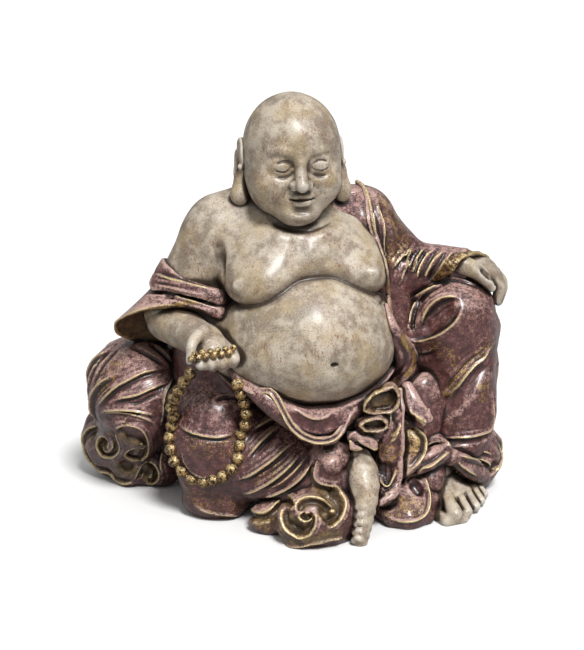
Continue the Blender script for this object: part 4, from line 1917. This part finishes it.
# Each piece: its name, how it is shaped, how uneven it is (how high, how far apart, and a seed),
# its paint, and its CAD nodes where they have other names
PIECES = (
    ("body", body, (0.16, 22, 1), SKIN, "torso", "right_upper_arm"),
    ("head", head, (0.10, 16, 2), SKIN),
    ("right_ear", lambda: ear(-1), (0.12, 10, 3), SKIN),
    ("left_ear", lambda: ear(1), (0.12, 10, 3), SKIN),
    ("right_arm", right_arm, (0.12, 9, 4), SKIN, "right_forearm", "right_hand"),
    ("left_hand", left_hand, (0.12, 9, 5), SKIN),
    ("left_foot", left_foot, (0.12, 8, 6), SKIN),
    ("right_foot", right_foot, (0.15, 5, 7), SKIN),
    ("right_sleeve_band", sleeve_band, (0.3, 14, 8), ROBE),
    ("right_sleeve_cuff", sleeve_cuff, (0.35, 18, 9), ROBE),
    ("robe_left_arm", robe_left_arm, (0.35, 16, 10), ROBE, "robe_left_shoulder", "robe_left_sleeve"),
    ("left_sleeve_cuff", left_cuff, (0.3, 6, 11), GILT),
    ("robe_left_leg", robe_left_leg, (0.35, 18, 12), ROBE, "robe_left_knee", "robe_left_shin"),
    ("robe_right_leg", robe_right_leg, (0.35, 18, 13), ROBE, "robe_right_knee", "robe_right_shin"),
    ("robe_right_thigh", robe_right_thigh, (0.35, 18, 14), ROBE),
    ("waist_cloth", waist_cloth, (0.3, 16, 15), ROBE),
    ("sash_knot", sash_knot, (0.4, 6, 19), ROBE),
    ("sash_upper_loop", upper_loop, (0.35, 5, 18), ROBE),
    ("sash_lower_loop", lower_loop, (0.35, 5, 18), ROBE),
    ("sash_tail", sash_tail, (0.4, 10, 20), ROBE),
    ("robe_front_panel", front_panel, (0.35, 14, 21), ROBE),
    ("hem_over_left_foot", foot_fold, (0.3, 10, 22), ROBE),
    ("hem_left_scrolls", left_scrolls, (0.3, 8, 23), ROBE),
    ("hem_centre_scrolls", centre_scrolls, (0.3, 8, 24), ROBE),
    ("hem_front_right", hem_front_right, (0.3, 10, 25), ROBE),
    ("hem_right_corner", right_corner, (0.35, 14, 26), ROBE),
    ("robe_back", robe_back, (0.6, 24, 27), ROBE),
    ("waist_hem", waist_hem, (0.3, 7, 16), ROBE),
    ("collar_hem", collar_hem, (0.3, 9, 17), ROBE),
)
parts = {}  # of each finished piece: its clay, its paint and its CAD nodes


def dressed(made, material, *nodes):
    """Gives a piece its paint, its place on the frame and the CAD nodes that it stands for."""
    made.data.materials.append(material)
    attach(made, "root")
    if nodes:
        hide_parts(*nodes)


def build_figure():
    for name, shaped, unevenness, material, *nodes in PIECES:
        clay = shaped()
        if clay.low[2] == 0:
            clay.cut(FLOOR)
        clay.roughen(*unevenness)
        parts[name] = (clay, material, nodes or [name])
    names = [f"bead_{i + 1:02d}" for i in range(BEADS)]
    spots = np.array([node_centre(n) for n in names])
    parts["bead_string"] = (bead_string(spots), GILT, [])
    whole = whole_of([part[0] for part in parts.values()])
    for name, (clay, material, nodes) in parts.items():
        dressed(skinned(name, clay, whole), material, *nodes)
    ways = np.gradient(spots, axis=0)
    for i, (name, spot, way) in enumerate(zip(names, spots, ways)):
        dressed(bead_mesh(name + "_turned", spot, way, i), BRASS, name)
    held = hand_beads()
    dressed(skinned("hand_beads_strung", held, held), BRASS, "hand_beads")


build_figure()


# The stage
FLOOR_SIZE = 4.0
WHITE = (0.95, 0.95, 0.945, 1.0)
BOUNCE = (0.4, 0.4, 0.4, 1.0)  # the floor as the figure sees it
SKY_LOW = 0.08  # the soft light from the horizon
SKY_HIGH = 0.62  # and from overhead
BACKDROP = 1.0
KEY_AZIMUTH = 6
KEY_ELEVATION = 56
KEY_STRENGTH = 3.0
KEY_SPREAD = 16


def stage():
    mesh = bpy.data.meshes.new("floor")
    half = FLOOR_SIZE / 2
    corners = [(-half, -half, 0), (half, -half, 0), (half, half, 0), (-half, half, 0)]
    mesh.from_pydata(corners, [], [(0, 1, 2, 3)])
    paper = Paint("paper", BOUNCE)
    paper.cover(WHITE, paper.camera_ray())
    mesh.materials.append(paper.done(0.9, Specular_IOR_Level=0.1))
    placed("floor", mesh)


def faced(made, back):
    """Turns a lamp or a camera, so that this way lies behind it."""
    made.rotation_mode = "QUATERNION"
    made.rotation_quaternion = Vector(back).to_track_quat("Z", "Y")


def light():
    world = bpy.data.worlds.new("studio")
    bpy.context.scene.world = world
    tree = Nodes(world)
    way = tree.node("ShaderNodeTexCoord", {}).outputs["Generated"]
    height = tree.node("ShaderNodeSeparateXYZ", {0: way}).outputs[2]
    inputs = {"Value": height, "To Min": SKY_LOW, "To Max": SKY_HIGH}
    sky = tree.node("ShaderNodeMapRange", inputs).outputs[0]
    inputs = {"Value": tree.camera_ray(), "To Min": sky, "To Max": BACKDROP}
    strength = tree.node("ShaderNodeMapRange", inputs).outputs[0]
    tree.fill(tree.nodes["Background"], {"Color": (1, 1, 1, 1), "Strength": strength})
    lamp = bpy.data.lights.new("key", "SUN")
    lamp.energy = KEY_STRENGTH
    lamp.angle = math.radians(KEY_SPREAD)
    faced(placed("key", lamp), towards(KEY_AZIMUTH, KEY_ELEVATION))


def camera():
    lens = bpy.data.cameras.new("camera")
    lens.sensor_width = SENSOR
    long_side = max(IMAGE_SIZE)
    lens.lens = CAMERA_FOCAL * SENSOR / long_side
    lens.shift_x = (IMAGE_SIZE[0] / 2 - CAMERA_AIM_PIXEL[0]) / long_side
    lens.shift_y = (CAMERA_AIM_PIXEL[1] - IMAGE_SIZE[1] / 2) / long_side
    lens.clip_start = 0.05
    lens.clip_end = 50
    holder = placed("camera", lens)
    holder.location = Vector((PHOTO.place + FIGURE_ZERO) * MM)
    faced(holder, PHOTO.back)
    bpy.context.scene.camera = holder


stage()
light()
camera()
bpy.context.scene.view_settings.view_transform = "Standard"
